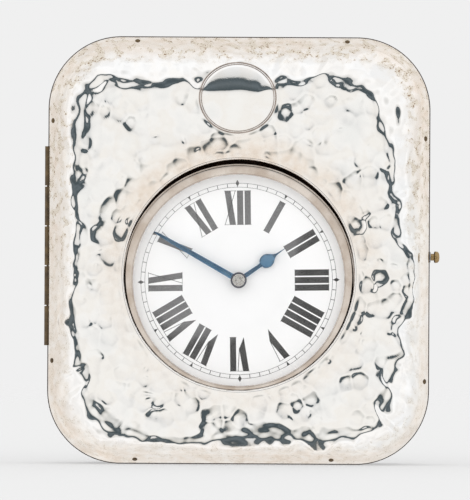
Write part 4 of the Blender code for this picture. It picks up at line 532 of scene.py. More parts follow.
def end_face(rows, steps):
    """One face over the last row."""
    return tuple(range((rows - 1) * steps, rows * steps))


def capped_faces(rows, steps):
    """Quads between the rows, and a face over each end."""
    return [*grid_faces(rows, steps), tuple(range(steps))[::-1], end_face(rows, steps)]


def flipped(faces):
    """The same faces turned the other way."""
    return [face[::-1] for face in faces]


def full_turn(steps):
    """Angles that run once round in equal steps."""
    return np.arange(steps) * tau / steps


def ring(centre, across, upward, steps):
    """Points round a centre, from the tip of one vector over the tip of the other."""
    return [centre + cos(a) * across + sin(a) * upward for a in full_turn(steps)]


def in_metres(shape, front):
    """A turned shape of (radius, depth), both in mm, as a profile behind that front."""
    return [(radius * MM, front + depth * MM) for radius, depth in shape]


def add_turned(name, profile, steps, *rest, centre_z=WATCH_Z, **options):
    """A piece made of a closed profile of (radius, y) turned about the watch's axis."""
    points = [(r * cos(a), y, centre_z + r * sin(a)) for r, y in profile for a in full_turn(steps)]
    add_piece(name, points, grid_faces(len(profile), steps, True), *rest, **options)


def add_stem_piece(name, node, body, shape, steps, ripple=None):
    """A piece turned about the stem's axis. Its shape is (radius in mm, share of the node's height)."""
    low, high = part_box(node)
    points = []
    for radius, share in shape:
        z = low[2] + share * (high[2] - low[2])
        for a in full_turn(steps):
            r = radius * MM * (1 - (ripple(a, radius * MM) if ripple else 0))
            points.append((r * cos(a), r * sin(a), z))
    add_piece(name, points, capped_faces(len(shape), steps), body, "nickel", [node], sharp_from=35)


def outline_distance(x, z, outline):
    """How far a point lies inside a rounded rectangle about the case's centre."""
    half_x, half_z, corner = outline
    across = np.abs(x) - (half_x - corner)
    along = np.abs(z - CASE_CENTRE_Z) - (half_z - corner)
    outside = np.hypot(np.maximum(across, 0), np.maximum(along, 0))
    return corner - outside - np.minimum(np.maximum(across, along), 0)


def around(centre, radius, angles):
    """Places (x, z) round a centre of the front."""
    return centre[0] + radius * np.cos(angles), centre[1] + radius * np.sin(angles)


def reach(inset, centre, outline, steps):
    """Distance from a centre, in each direction, to the curve that far inside the outline."""
    angles = full_turn(steps)
    low, high = np.zeros(steps), np.full(steps, 2 * outline[1])
    halvings = 48
    for _ in range(halvings):
        middle = (low + high) / 2
        inside = outline_distance(*around(centre, middle, angles), outline) > inset
        low, high = np.where(inside, middle, low), np.where(inside, high, middle)
    return (low + high) / 2


def ring_points(rings, centre, steps):
    """Points of rings of (radius, y) round a centre of the front. Both may differ all round."""
    rows = []
    for radius, y in rings:
        x, z = around(centre, radius, full_turn(steps))
        rows.append(np.stack([x, np.broadcast_to(y, x.shape), z], axis=1))
    return np.concatenate(rows)


# Silver sheet


def photo_place(across, down):
    """The place (x, z) that a point of the photograph shows, in its pixels."""
    return (across - PHOTO_MIDDLE_X) * PHOTO_PIXEL, PHOTO_MIDDLE_Z + (PHOTO_MIDDLE_Y - down) * PHOTO_PIXEL


def from_opening(x, z):
    """Distance from the centre of the round opening."""
    return np.hypot(x - OPENING[0], z - OPENING[1])


# Where the smooth rim turns into the hammered field: pixels across and down, and how broad the turn is
CREASE = (
    (239, 79, 9), (256, 82, 8), (267, 87, 2), (281, 80, 6), (292, 84, 1.2), (309, 82, 1), (320, 77, 1),
    (338, 81, 4), (353, 88, 3), (367, 93, 2), (374, 117, 1), (384, 146, 1.2), (390, 165, 1), (390, 192, 1),
    (398, 203, 1.2), (394, 229, 2), (410, 262, 1.2), (410, 295, 1.5), (403, 313, 4), (394, 326, 2),
    (402, 351, 1.5), (390, 361, 2.5), (385, 378, 2), (388, 388, 1.5), (380, 408, 6), (382, 420, 1.5),
    (360, 429, 1.2), (340, 433, 4), (312, 437, 8), (297, 433, 2), (280, 432, 7), (222, 433, 8),
    (206, 437, 5), (190, 440, 1.5), (150, 437, 1.2), (128, 431, 3), (113, 428, 7), (99, 414, 5),
    (90, 398, 2), (86, 389, 1.5), (90, 379, 1), (87, 367, 1.5), (80, 363, 1.5), (79, 340, 1), (75, 319, 4),
    (72, 300, 1), (77, 272, 1.2), (79, 225, 1.2), (76, 199, 1), (79, 179, 5), (78, 160, 1), (80, 143, 6),
    (83, 115, 7), (88, 93, 7), (99, 84, 6), (135, 84, 6), (160, 86, 3), (175, 83, 1), (185, 80, 1),
    (198, 82, 6), (221, 80, 9), (207, 84, 6),
)


def crease_at(x, z):
    """Inset of the crease and the width of its turn, in the direction of each place."""
    across, down, breadths = (np.array(column, dtype=float) for column in zip(*CREASE))
    crease_x, crease_z = photo_place(across, down)
    along = np.arctan2(crease_z - OPENING[1], crease_x - OPENING[0])
    order = np.argsort(along)
    along = along[order]
    insets = outline_distance(crease_x, crease_z, SHEET_OUTLINE)[order]
    widths = TURN_LEAST_WIDTH + TURN_WIDENING * breadths[order]
    count = len(order)
    direction = np.arctan2(z - OPENING[1], x - OPENING[0])
    wrapped = np.concatenate([along[-1:] - tau, along, along[:1] + tau])
    place = np.interp(direction, wrapped, np.arange(-1, count + 1))
    before = np.floor(place).astype(int)
    share = smooth(place - before, 0, 1)
    i, j = before % count, (before + 1) % count
    return tuple(values[i] * (1 - share) + values[j] * share for values in (insets, widths))


def rim_rise(inset, crease, turn):
    """How far the rim stands forward of its edge, and the crease's inset once the slope is limited."""
    sloping_rise = SHEET_RISE * (1 - FLANGE_SHARE) - TURN_RISES[-1] * turn
    width = np.maximum(crease - TURN_BEFORE_SHARE * turn - FLANGE_WIDTH, RIM_LEAST_WIDTH)
    width = np.minimum(width, 2 * sloping_rise / (RIM_START_SLOPE + RIM_END_SLOPE))
    first_slope = 2 * sloping_rise / width - RIM_END_SLOPE
    sloped = np.clip(inset - FLANGE_WIDTH, 0, width)
    turned = np.clip((inset - FLANGE_WIDTH - width) / turn, 0, 1)
    rise = SHEET_RISE * FLANGE_SHARE * np.clip(inset / FLANGE_WIDTH, 0, 1) ** FLANGE_POWER
    rise = rise + first_slope * sloped - (first_slope - RIM_END_SLOPE) * sloped ** 2 / (2 * width)
    rise = rise + turn * np.interp(turned, TURN_PLACES, TURN_RISES)
    return rise, FLANGE_WIDTH + width + TURN_BEFORE_SHARE * turn


def mark_depth(x, z):
    """Depth of the overlapping hollows that the hammer left, with softened ridges between them."""
    rng = np.random.default_rng(SEED)
    size = MARK_TABLE
    jitter = rng.uniform(-MARK_JITTER, MARK_JITTER, (size, size, 2))
    curve = rng.uniform(*MARK_CURVE_SHARES, (size, size))
    reach_share = rng.uniform(*MARK_REACH_SHARES, (size, size))
    i0 = np.floor(x / MARK_PITCH).astype(int)
    total = np.ones_like(x)
    for di in (-1, 0, 1):
        for dj in (-1, 0, 1):
            i = i0 + di
            shift = 0.5 * (i % 2)
            j = np.floor(z / MARK_PITCH - shift).astype(int) + dj
            cell = (i % size, j % size)
            centre_x = (i + 0.5 + jitter[cell][..., 0]) * MARK_PITCH
            centre_z = (j + 0.5 + shift + jitter[cell][..., 1]) * MARK_PITCH
            radius = reach_share[cell] * MARK_PITCH
            away = (x - centre_x) ** 2 + (z - centre_z) ** 2
            hollow = (away - radius ** 2) / (2 * MARK_CURVE * curve[cell])
            total = total + np.exp(np.clip(-hollow / MARK_BLEND, -POWER_LIMIT, POWER_LIMIT))
    return MARK_BLEND * np.log(total)


# Where the marks are deeper: pixels across and down, radius in pixels, added strength
DEEP_MARKS = (
    (106, 108, 16, 0.9), (129, 120, 12, 0.8), (181, 103, 8, 0.7), (90, 153, 8, 0.7), (88, 173, 9, 0.9),
    (92, 222, 10, 0.6), (96, 287, 9, 1.1), (84, 302, 7, 0.8), (92, 327, 7, 0.8), (102, 403, 10, 1.0),
    (128, 392, 8, 0.8), (145, 387, 9, 0.9), (156, 408, 9, 1.2), (212, 419, 9, 0.9), (230, 417, 9, 0.8),
    (300, 403, 10, 0.6), (316, 403, 9, 0.8), (358, 345, 9, 0.9), (356, 367, 9, 1.0), (345, 378, 8, 0.8),
    (384, 374, 13, 1.1), (378, 402, 14, 0.9), (365, 312, 9, 0.8), (399, 290, 9, 1.0), (395, 318, 9, 1.0),
    (372, 275, 12, 0.6), (366, 225, 12, 0.8), (385, 205, 9, 0.8), (382, 170, 10, 0.9), (360, 172, 9, 0.8),
    (352, 160, 8, 0.7), (350, 108, 11, 1.2), (334, 98, 10, 0.9), (313, 94, 9, 0.7), (284, 110, 10, 0.9),
    (302, 109, 9, 0.7), (300, 146, 12, 0.7), (276, 133, 10, 0.6), (350, 224, 8, 0.7), (138, 155, 9, 0.5),
)


def mark_strength(x, z):
    """How deep the marks are: uneven, deeper round the opening, to the right and at the deep marks."""
    plain, uneven, near_opening, to_right, at_deep_marks = 0.5, 0.25, 0.16, 0.05, 0.85
    least, most = 0.2, 2.0
    strength = plain + uneven * soft_noise(x, z, 9 * MM, SEED + 1)
    strength = strength + near_opening * (1 - smooth(from_opening(x, z), 36 * MM, 45 * MM))
    strength = strength + to_right * smooth(x, 10 * MM, 34 * MM)
    for across, down, radius, added in DEEP_MARKS:
        spot_x, spot_z = photo_place(across, down)
        away = ((x - spot_x) ** 2 + (z - spot_z) ** 2) / (radius * PHOTO_PIXEL) ** 2
        strength = strength + at_deep_marks * added * np.exp(-away)
    return np.clip(strength, least, most)


def nicks(x, z):
    """Depth of small long dents scattered over the field."""
    rng = np.random.default_rng(SEED + 8)
    depth = np.zeros_like(x)
    for _ in range(NICKS):
        across = rng.uniform(-SHEET_HALF_X, SHEET_HALF_X)
        up = CASE_CENTRE_Z + rng.uniform(-SHEET_HALF_Z, SHEET_HALF_Z)
        wide, turn = rng.uniform(0.35, 0.7) * MM, rng.uniform(0, pi)
        tall = wide * rng.uniform(1.2, 2.6)
        u = (x - across) * cos(turn) + (z - up) * sin(turn)
        v = (z - up) * cos(turn) - (x - across) * sin(turn)
        depth = depth + wide * rng.uniform(0.16, 0.32) * np.exp(-(u / wide) ** 2 - (v / tall) ** 2)
    return depth


def opening_dip(x, z):
    """How far the field falls back towards the round opening."""
    left = smooth(-x, 10 * MM, 28 * MM)
    start = DIP_RADIUS + DIP_LEFT * left + DIP_WAVE * soft_noise(x, z, 4.5 * MM, SEED + 5)
    inwards = start - from_opening(x, z)
    steep = np.clip(inwards, 0, STEEP_WIDTH)
    gentle = np.clip(inwards - STEEP_WIDTH, 0, GENTLE_WIDTH)
    upper = smooth(z - OPENING[1], -4 * MM, 18 * MM)
    part = DIP_BELOW_SHARE + (1 - DIP_BELOW_SHARE) * upper
    return (STEEP_SLOPE * steep + GENTLE_SLOPE * gentle) * part


def cartouche_share(x, z):
    """0 at the middle of the bare oval, 1 on its outline."""
    return np.hypot((x - CARTOUCHE[0]) / CARTOUCHE_REACH[0], (z - CARTOUCHE[1]) / CARTOUCHE_REACH[1])


def sheet_y(x, z):
    """Front face of the silver at each place."""
    inset = outline_distance(x, z, SHEET_OUTLINE)
    oval = cartouche_share(x, z)
    bare = smooth(oval, 1.0, BARE_SHARE)
    wave = soft_noise(x, z, 3.1 * MM, SEED + 2) + 0.6 * soft_noise(x, z, 1.7 * MM, SEED + 3)
    crease, turn = crease_at(x, z)
    rise, crease = rim_rise(inset, crease + RIM_WAVE * wave * bare, turn)
    raised = CARTOUCHE_RISE * (1 - smooth(oval, 0.9, 1.0))
    hammered = smooth(inset, crease - MARKS_BEFORE_CREASE, crease + MARKS_PAST_CREASE) * bare
    clear = smooth(from_opening(x, z), *MARKS_FADE_RADII)
    hammered = hammered * (FAINT_SHARE + (1 - FAINT_SHARE) * clear)
    depth = (mark_depth(x, z) * mark_strength(x, z) + nicks(x, z)) * hammered
    swell = SWELL * soft_noise(x, z, 8 * MM, SEED + 4) * smooth(inset, crease - MM, crease + 4 * MM) * bare
    dip = opening_dip(x, z) * smooth(oval, 1.0, LEVEL_SHARE)
    return SHEET_EDGE_Y - rise + depth + swell + dip - raised + SHEET_BACKSET


def sheet_masks(x, z):
    """Where tarnish and dark specks are left on the silver."""
    inset = outline_distance(x, z, SHEET_OUTLINE)
    upper = smooth(z - OPENING[1], -20 * MM, 25 * MM)
    opening = from_opening(x, z) - OPENING_RADIUS
    near_opening = (0.25 + 0.55 * upper) * (1 - smooth(opening, 2.5 * MM, 9.5 * MM))
    clean_side = smooth(x, 20 * MM, 40 * MM) * smooth(OPENING[1] + 30 * MM - z, 0, 20 * MM)
    edge = (1 - smooth(inset, 1.5 * MM, 7.5 * MM - 3.5 * MM * clean_side)) * (0.85 - 0.25 * clean_side)
    dirty = smooth(z, 40 * MM, 80 * MM) + 0.35 * smooth(-x, 20 * MM, 45 * MM)
    speckle = (1 - smooth(inset, 4.5 * MM, 7.5 * MM)) * np.clip(dirty, 0.3, 1)
    return {"tarnish": np.clip(edge + near_opening, 0, 1), "speckle": speckle}


def silver_sheet():
    """The hammered front: rows follow the outline, then close in on the round opening."""
    flange_insets = np.linspace(0, FLANGE_WIDTH, FLANGE_ROWS)
    field_insets = np.arange(FLANGE_WIDTH + ROW_STEP, FIELD_INSET, ROW_STEP)
    insets = (*flange_insets, *field_insets)
    radii = [reach(inset, OPENING, SHEET_OUTLINE, SHEET_STEPS) for inset in insets]
    outer, inner = radii[-1], OPENING_RADIUS + LIP_ROUND
    radii += [outer * (1 - share) + inner * share for share in np.linspace(0, 1, FIELD_ROWS + 1)[1:]]
    angles = full_turn(SHEET_STEPS)
    rings = [(radius, sheet_y(*around(OPENING, radius, angles))) for radius in radii]
    edge_y = rings[-1][1]
    for turn in np.linspace(0, pi / 2, LIP_ROWS + 1)[1:]:
        rings.append((inner - LIP_ROUND * sin(turn), edge_y + LIP_ROUND * (1 - cos(turn))))
    rings.append((inner - LIP_ROUND, edge_y + LIP_DEPTH))
    # A wall at the outline closes the sheet's edge down to the cover
    rings.insert(0, (radii[0], SHEET_HIGH[1]))
    points = ring_points(rings, OPENING, SHEET_STEPS)
    faces, masks = grid_faces(len(rings), SHEET_STEPS), sheet_masks(points[:, 0], points[:, 2])
    add_piece("silver_sheet", points, faces, "cover", "silver", ["silver_front"], hammered_silver(), masks,
              sharp_from=60)


def sheet_wire(name, share, radius):
    """A fine raised line that follows the sheet along the bare oval."""
    points, steps, sides, flatness = [], 220, 8, 0.8
    for a in full_turn(steps):
        x = CARTOUCHE[0] + share * CARTOUCHE_REACH[0] * cos(a)
        z = CARTOUCHE[1] + share * CARTOUCHE_REACH[1] * sin(a)
        y = float(sheet_y(np.array([x]), np.array([z]))[0])
        outward, forward = radius * Vector((cos(a), 0, sin(a))), Vector((0, radius * flatness, 0))
        points += ring(Vector((x, y, z)), outward, forward, sides)
    add_piece(name, points, grid_faces(steps, sides, True), "cover", "silver", (), TARNISHED)


def silver_pins():
    """Domed nail heads through the sheet's edge, where the CAD pins are."""
    points, faces = [], []
    sides, rings = 20, 5
    names = [f"silver_pin_{side}_{n}" for side in ("top", "bottom", "left", "right") for n in (1, 2)]
    for name in names:
        low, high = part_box(name)
        x, z = (low[0] + high[0]) / 2, (low[2] + high[2]) / 2
        if "top" in name or "bottom" in name:
            z = CASE_CENTRE_Z + np.sign(z - CASE_CENTRE_Z) * (SHEET_HALF_Z - PIN_INSET)
        else:
            x = np.sign(x) * (SHEET_HALF_X - PIN_INSET)
        near = sheet_y(np.array([x, x + PIN_STEP, x]), np.array([z, z, z + PIN_STEP]))
        normal = Vector((near[1] - near[0], -PIN_STEP, near[2] - near[0])).normalized()
        seat = Vector((x, near[0], z)) - PIN_SINK * normal
        across = normal.cross(Vector((0, 0, 1))).normalized()
        upward = across.cross(normal)
        first = len(points)
        for lift in np.linspace(0, pi / 2, rings):
            out = PIN_RADIUS * cos(lift)
            points += ring(seat + PIN_HEIGHT * sin(lift) * normal, out * across, out * upward, sides)
        faces += [tuple(first + i for i in face) for face in flipped(grid_faces(rings, sides))]
    add_piece("silver_pins", points, faces, "cover", "silver", names, DARK_BRASS)


# Watch


def bezel():
    """The polished bezel, with a fine groove near its edge."""
    low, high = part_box("watch_bezel")
    front, depth = low[1], (high[1] - low[1]) / MM
    shape = [(27.78, 0.55), (27.75, 0.25), (27.82, 0.08), (28.0, 0.02), (28.5, 0.0), (29.3, 0.03),
             (29.9, 0.08), (30.1, 0.12), (30.17, 0.3), (30.25, 0.3), (30.32, 0.14), (30.45, 0.1),
             (30.58, 0.16), (30.68, 0.4), (30.8, 0.9), (31.2, 1.6), (31.8, 2.6), (32.3, 3.8), (32.6, 5.0),
             (32.6, 5.6), (32.6, depth), (30.2, depth), (29.0, 1.6), (28.9, 0.6)]
    profile = in_metres(shape[::-1], front)
    add_turned("bezel", profile, WATCH_STEPS, "tray", "nickel", ["watch_bezel"], sharp_from=50)


def crystal():
    """The domed glass over the dial."""
    low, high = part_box("crystal")
    gap, least_radius, rise, thickness = 0.05 * MM, 0.02 * MM, 1.4 * MM, 1.1 * MM
    radius = (high[0] - low[0]) / 2 - gap
    steps, rings = 160, 40
    radii = [max(radius * i / rings, least_radius) for i in range(rings + 1)]
    profile = [(r, low[1] + rise * (r / radius) ** 2) for r in radii]
    profile += [(r, y + thickness) for r, y in profile[::-1]]
    add_turned("crystal_glass", profile[::-1], steps, "tray", "glass", ["crystal"])


def clockwise(u, v, angle):
    """A place u to the right and v outwards on a numeral that stands at that clockwise angle."""
    return (u * cos(angle) + v * sin(angle), WATCH_Z + v * cos(angle) - u * sin(angle))


def on_dial(outline, angle):
    """An outline at that angle on the dial, whose print sits a little turned and low."""
    turned = [clockwise(u, v, angle + DIAL_TURN) for u, v in outline]
    return [(x, z - DIAL_DROP) for x, z in turned]


def printed(name, outlines):
    """Flat outlines on the dial, with the print's thickness towards the viewer."""
    points, faces = [], []
    for outline in outlines:
        first, n = len(points), len(outline)
        points += [(x, y, z) for y in (DIAL_Y, DIAL_Y - PRINT_THICKNESS) for x, z in outline]
        faces.append(tuple(first + n + i for i in range(n)))
        faces.append(tuple(first + i for i in range(n))[::-1])
        faces += [tuple(first + i for i in face) for face in grid_faces(2, n)]
    add_piece(name, points, faces, "tray", "blued_steel", (), DIAL_PRINT, sharp_from=20)


def stroke(low, high, foot, head=None):
    """A straight stroke between two levels, as wide there as its foot and its head."""
    head = head or foot
    return [(foot[0], low), (foot[1], low), (head[1], high), (head[0], high)]


def glyph(letter, left, low, high):
    """The strokes of one letter: heavy ones and hairlines."""
    right, tall, half = left + GLYPH_WIDTHS[letter], high - low, HAIRLINE / 3
    serifs = [stroke(level - half, level + half, (left - SERIF, right + SERIF)) for level in (low, high)]
    if letter == "I":
        return [stroke(low, high, (left, right)), *serifs]
    if letter == "X":
        return [stroke(low, high, (right - STROKE, right), (left, left + STROKE)),
                stroke(low, high, (left, left + HAIRLINE), (right - HAIRLINE, right)), *serifs]
    point, knee = left + 0.45 * (right - left), left + 0.86 * (right - left)
    return [[(point, low), (knee, low + 0.34 * tall), (left + STROKE, high), (left, high)],
            stroke(low + 0.32 * tall, high, (knee - HAIRLINE, knee), (right - HAIRLINE, right)), serifs[1]]


def numerals():
    """The twelve Roman hours."""
    outlines = []
    names = ("XII", "I", "II", "III", "IIII", "V", "VI", "VII", "VIII", "IX", "X", "XI")
    for hour, letters in enumerate(names):
        total = sum(GLYPH_WIDTHS[c] for c in letters) + STROKE_GAP * (len(letters) - 1)
        left = -total / 2
        for letter in letters:
            for outline in glyph(letter, left, NUMERAL_INNER, NUMERAL_OUTER):
                outlines.append(on_dial(outline, hour * tau / len(names)))
            left += GLYPH_WIDTHS[letter] + STROKE_GAP
    printed("dial_numerals", outlines)


def minute_track():
    """Sixty ticks between two rings, with diamonds at the quarters and wedges at the other hours."""
    outlines, minutes = [], 60
    tick, wide, tall = 0.08 * MM, 0.5 * MM, 0.87 * MM
    low, high = TRACK_OUTER - tall, TRACK_OUTER + tall
    wedge, top = 0.42 * MM, TRACK_OUTER + 0.05 * MM
    for minute in range(minutes):
        marks = [stroke(TRACK_INNER, TRACK_OUTER, (-tick, tick))]
        if minute % 15 == 0:
            marks.append([(0, low), (wide, TRACK_OUTER), (0, high), (-wide, TRACK_OUTER)])
        elif minute % 5 == 0:
            marks.append([(-wedge, top), (0, TRACK_INNER), (wedge, top)])
        outlines += [on_dial(mark, minute * tau / minutes) for mark in marks]
    printed("dial_minutes", outlines)
    half, steps, centre_z = 0.05 * MM, 240, WATCH_Z - DIAL_DROP
    for name, radius in (("track_inner", TRACK_INNER), ("track_outer", TRACK_OUTER)):
        profile = stroke(DIAL_Y, DIAL_Y - PRINT_THICKNESS, (radius - half, radius + half))
        add_turned(name, profile, steps, "tray", "blued_steel", (), DIAL_PRINT, centre_z=centre_z)


def hand(name, stations, angle, front, body, node):
    """A hand with a raised ridge. Stations are (distance from the centre, half width), both in mm."""
    points = []
    for along, half in stations:
        half = half * MM
        flat, face, back = half * HAND_FLAT_SHARE, front - HAND_EDGE, front + HAND_BACK
        ridge = face - min(HAND_RIDGE, half * HAND_RIDGE_SHARE)
        section = [(-half, front), (-flat, face), (0, ridge), (flat, face), (half, front), (half, back),
                   (-half, back)]
        for u, y in section:
            x, z = clockwise(u, along * MM, angle)
            points.append((x, y, z))
    faces = capped_faces(len(stations), len(section))
    add_piece(name, points, faces, body, "blued_steel", [node], sharp_from=12)


def boss(name, shape, front, body, slot, finish=None):
    """A round piece on the hands' axis. Its shape is (radius, depth), both in mm."""
    add_turned(name, in_metres(shape, front), BOSS_STEPS, body, slot, (), finish, sharp_from=30)


def hands():
    """The pointed minute hand, the hour hand with its moon, and the bosses on their axis."""
    minute_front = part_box("minute_hand")[0][1] + HAND_FORWARD
    minute = [(0.2, 0.75), (2, 0.76), (8, 0.72), (15, 0.62), (20, 0.5), (24.2, 0.34), (25.2, 0.2),
              (25.7, 0.06)]
    hand("minute_blade", minute, MINUTE_ANGLE, minute_front, "minute_train", "minute_hand")
    hour_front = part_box("hour_hand")[0][1] + HAND_FORWARD
    hour = [(0.2, 0.62), (3, 0.58), (6.6, 0.5)]
    moon_place, moon_reach, neck, moon_width, half_turn, steps = 8.95, 1.85, 0.3, 1.5, 18, 12
    for i in range(1, steps + 1):
        turn = pi * i / half_turn
        hour.append((moon_place - moon_reach * cos(turn), neck + moon_width * sin(turn)))
    hour += [(10.3, 1.34), (10.7, 1.02), (11.1, 0.72), (11.5, 0.46), (11.9, 0.3), (12.6, 0.19),
             (14.7, 0.07)]
    hand("hour_blade", hour, HOUR_ANGLE, hour_front, "hour_train", "hour_hand")
    upper = [(0.9, 0.1), (2.0, 0.1), (2.1, 0.0), (2.1, -0.12), (2.0, -0.22), (1.7, -0.26), (0.9, -0.26)]
    # The minute boss's dark colour is partly a painted dark reflection
    boss("minute_boss", upper, minute_front, "minute_train", "blued_steel", BOSS_STEEL_PAINTED_DARK_REFLECTION)
    lower = [(1.4, 0.1), (2.0, 0.1), (2.1, 0.0), (2.1, -0.1), (1.95, -0.2), (1.4, -0.2)]
    boss("hour_boss", lower, hour_front, "hour_train", "blued_steel")
    cap = [(0.02, -0.5), (0.2, -0.5), (0.32, -0.44), (0.4, -0.3), (0.55, -0.36), (0.85, -0.42),
           (0.93, -0.32), (1.02, -0.32), (1.1, -0.4), (1.45, -0.38), (1.62, -0.28), (1.7, -0.16),
           (1.72, 0.0), (0.02, 0.0)]
    boss("hand_cap", cap[::-1], minute_front, "minute_train", "steel", BRIGHT_STEEL)


def watch_case():
    """The band round the movement and the pendant's neck."""
    shape = [(30.2, -5.0), (32.5, -5.0), (32.9, -4.8), (33.1, -3.6), (33.2, -1.6), (33.2, 1.6),
             (33.1, 3.6), (32.9, 4.8), (32.5, 5.0), (30.2, 5.0)]
    profile = in_metres(shape[::-1], 0)
    add_turned("case_band", profile, WATCH_STEPS, "tray", "nickel", ["watch_band"], sharp_from=30)
    neck = [(4.2, 0), (4.1, 0.05), (3.6, 0.14), (3.2, 0.24), (3.0, 0.34), (3.0, 0.5), (3.3, 0.54),
            (3.45, 0.6), (3.45, 0.84), (3.3, 0.9), (3.0, 0.92), (3.0, 1.0)]
    fit, steps = 0.985, 64
    add_stem_piece("pendant_neck", "pendant", "tray", [(r * fit, share) for r, share in neck], steps)


def crown():
    """The ribbed winding crown."""
    low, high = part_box("crown")
    ribbed_from = 0.96 * (high[0] - low[0]) / 2
    ribs, rib_share, steps = 26, 0.05, 208

    def ripple(angle, radius):
        return rib_share * (0.5 + 0.5 * cos(ribs * angle)) if radius > ribbed_from else 0

    shape = [(3.7, 0.02), (4.7, 0.0), (5.05, 0.04), (5.2, 0.1), (5.2, 0.45), (5.2, 0.78), (5.05, 0.84),
             (4.7, 0.88), (4.0, 0.93), (2.8, 0.975), (1.5, 0.995), (0.3, 1.0)]
    add_stem_piece("crown_knob", "crown", "crown", shape, steps, ripple)


def bow():
    """The round bow. Its path starts and ends in the stubs that it turns on."""
    half_x, half_z, wire, pivot_z = 8.8 * MM, 9.4 * MM, 1.0 * MM, 87.4 * MM
    thick_share, opening, steps, sides = 1.18, pi / 6, 64, 16
    centre_z = pivot_z + half_z * cos(opening)
    path = [(3.3 * MM, pivot_z, 0.5 * MM), (4.0 * MM, pivot_z, 0.5 * MM), (4.05 * MM, pivot_z, 1.05 * MM)]
    for i in range(steps + 1):
        a = opening + (tau - 2 * opening) * i / steps
        thickness = thick_share if min(i, steps - i) < 2 else 1.0
        path.append((half_x * sin(a), centre_z - half_z * cos(a), wire * thickness))
    path += [(-x, z, r) for x, z, r in path[2::-1]]
    points = []
    for i, (x, z, r) in enumerate(path):
        before, after = path[max(i - 1, 0)], path[min(i + 1, len(path) - 1)]
        dx, dz = after[0] - before[0], after[1] - before[1]
        length = hypot(dx, dz) or 1
        outward = r * Vector((dz / length, 0, -dx / length))
        points += ring(Vector((x, 0, z)), outward, Vector((0, r, 0)), sides)
    add_piece("bow_ring", points, capped_faces(len(path), sides), "bow", "nickel", ["bow"], sharp_from=50)


# Case


def leather_tray():
    """The leather over the tray, turned in at the front edge and rounded at the back."""
    low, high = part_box("tray_leather")
    outline = ((high[0] - low[0]) / 2, (high[2] - low[2]) / 2, LEATHER_CORNER)
    front, back = low[1], high[1]
    # Inset and depth behind the front, both in mm
    front_edge = [(1.1, 0.6), (0.95, 0.1), (0.8, 0.0), (0.35, 0.02), (0.1, 0.15), (0.0, 0.4)]
    rows = in_metres(front_edge, front)
    rows += [(0.0, front + share * (back - front)) for share in (0.1, 0.25, 0.4, 0.55, 0.7, 0.85)]
    for turn in np.linspace(0, pi / 2, 7):
        rows.append((LEATHER_ROUND * (1 - cos(turn)), back - LEATHER_ROUND * (1 - sin(turn))))
    rows += [(inset * MM, back) for inset in (1.6, 5, 12, 18.9)]
    centre, steps = (0, CASE_CENTRE_Z), CASE_STEPS
    points = ring_points([(reach(inset, centre, outline, steps), y) for inset, y in rows], centre, steps)
    faces = [*grid_faces(len(rows), steps), end_face(len(rows), steps)]
    add_piece("leather_shell", points, flipped(faces), "tray", "leather", ["tray_leather"], sharp_from=50)


def cover_body():
    """The cover's frame behind the silver: a leather-covered edge, a flat back and the round window."""
    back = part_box("cover_frame")[1][1]
    lining_low, lining_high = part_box("cover_lining")
    lining_gap, seat_gap = 0.3 * MM, 0.05 * MM
    border = SHEET_HALF_X - (lining_high[0] - lining_low[0]) / 2 - lining_gap
    seat_y = lining_low[1] - seat_gap
    # Inset and depth, both in mm, behind the silver's edge and then behind the frame's back
    rows = in_metres([(0.6, -0.6), (0.5, 0.1), (0.15, 0.25), (0.0, 0.45)], SHEET_EDGE_Y)
    rows += in_metres([(0.0, -0.3), (0.1, -0.08), (0.3, 0.0), (1.5, 0.0)], back)
    rows += [(border - 0.2 * MM, back), (border, back - 0.1 * MM), (border, seat_y)]
    rings = [(reach(inset, OPENING, SHEET_OUTLINE, CASE_STEPS), y) for inset, y in rows]
    rings += [(WINDOW_RADIUS, seat_y), (WINDOW_RADIUS, WINDOW_FRONT_Y)]
    points = ring_points(rings, OPENING, CASE_STEPS)
    faces = grid_faces(len(rings), CASE_STEPS)
    add_piece("cover_body", points, faces, "cover", "wood", ["cover_frame"], FINISHES["leather"])


def button_axis():
    """Place (y, z) of the line along which the button slides."""
    low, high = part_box("push_button")
    return (low[1] + high[1]) / 2, (low[2] + high[2]) / 2


def button():
    """The brass push button, with a domed head on a thinner neck."""
    y, z = button_axis()
    head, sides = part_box("push_button")[1][0], 40
    # Radius and place from the head's tip, both in mm
    shape = [(0.9, -8.1), (0.9, -1.5), (1.35, -1.42), (1.5, -1.3), (1.55, -1.1), (1.5, -0.9), (1.52, -0.7),
             (1.4, -0.4), (1.1, -0.17), (0.7, -0.05), (0.15, 0.0)]
    points = []
    for r, x in in_metres(shape, head):
        points += ring(Vector((x, y, z)), Vector((0, r, 0)), Vector((0, 0, r)), sides)
    faces = capped_faces(len(shape), sides)
    add_piece("button_knob", points, faces, "catch", "brass", ["push_button"], sharp_from=35)


def button_spring():
    """A fine coil behind the catch bar."""
    low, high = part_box("button_spring")
    y, z = button_axis()
    start, length = low[0] + SPRING_WIRE, high[0] - low[0] - 2 * SPRING_WIRE
    points, steps, sides = [], 96, 10
    for share in np.linspace(0, 1, steps + 1):
        outward = Vector((0, cos(share * SPRING_TURNS * tau), sin(share * SPRING_TURNS * tau)))
        centre = Vector((start + share * length, y, z)) + SPRING_RADIUS * outward
        points += ring(centre, SPRING_WIRE * outward, Vector((SPRING_WIRE, 0, 0)), sides)
    faces = flipped(capped_faces(steps + 1, sides))
    spring = add_piece("button_coil", points, faces, "tray", "steel", ["button_spring"], sharp_from=60)
    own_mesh(spring)


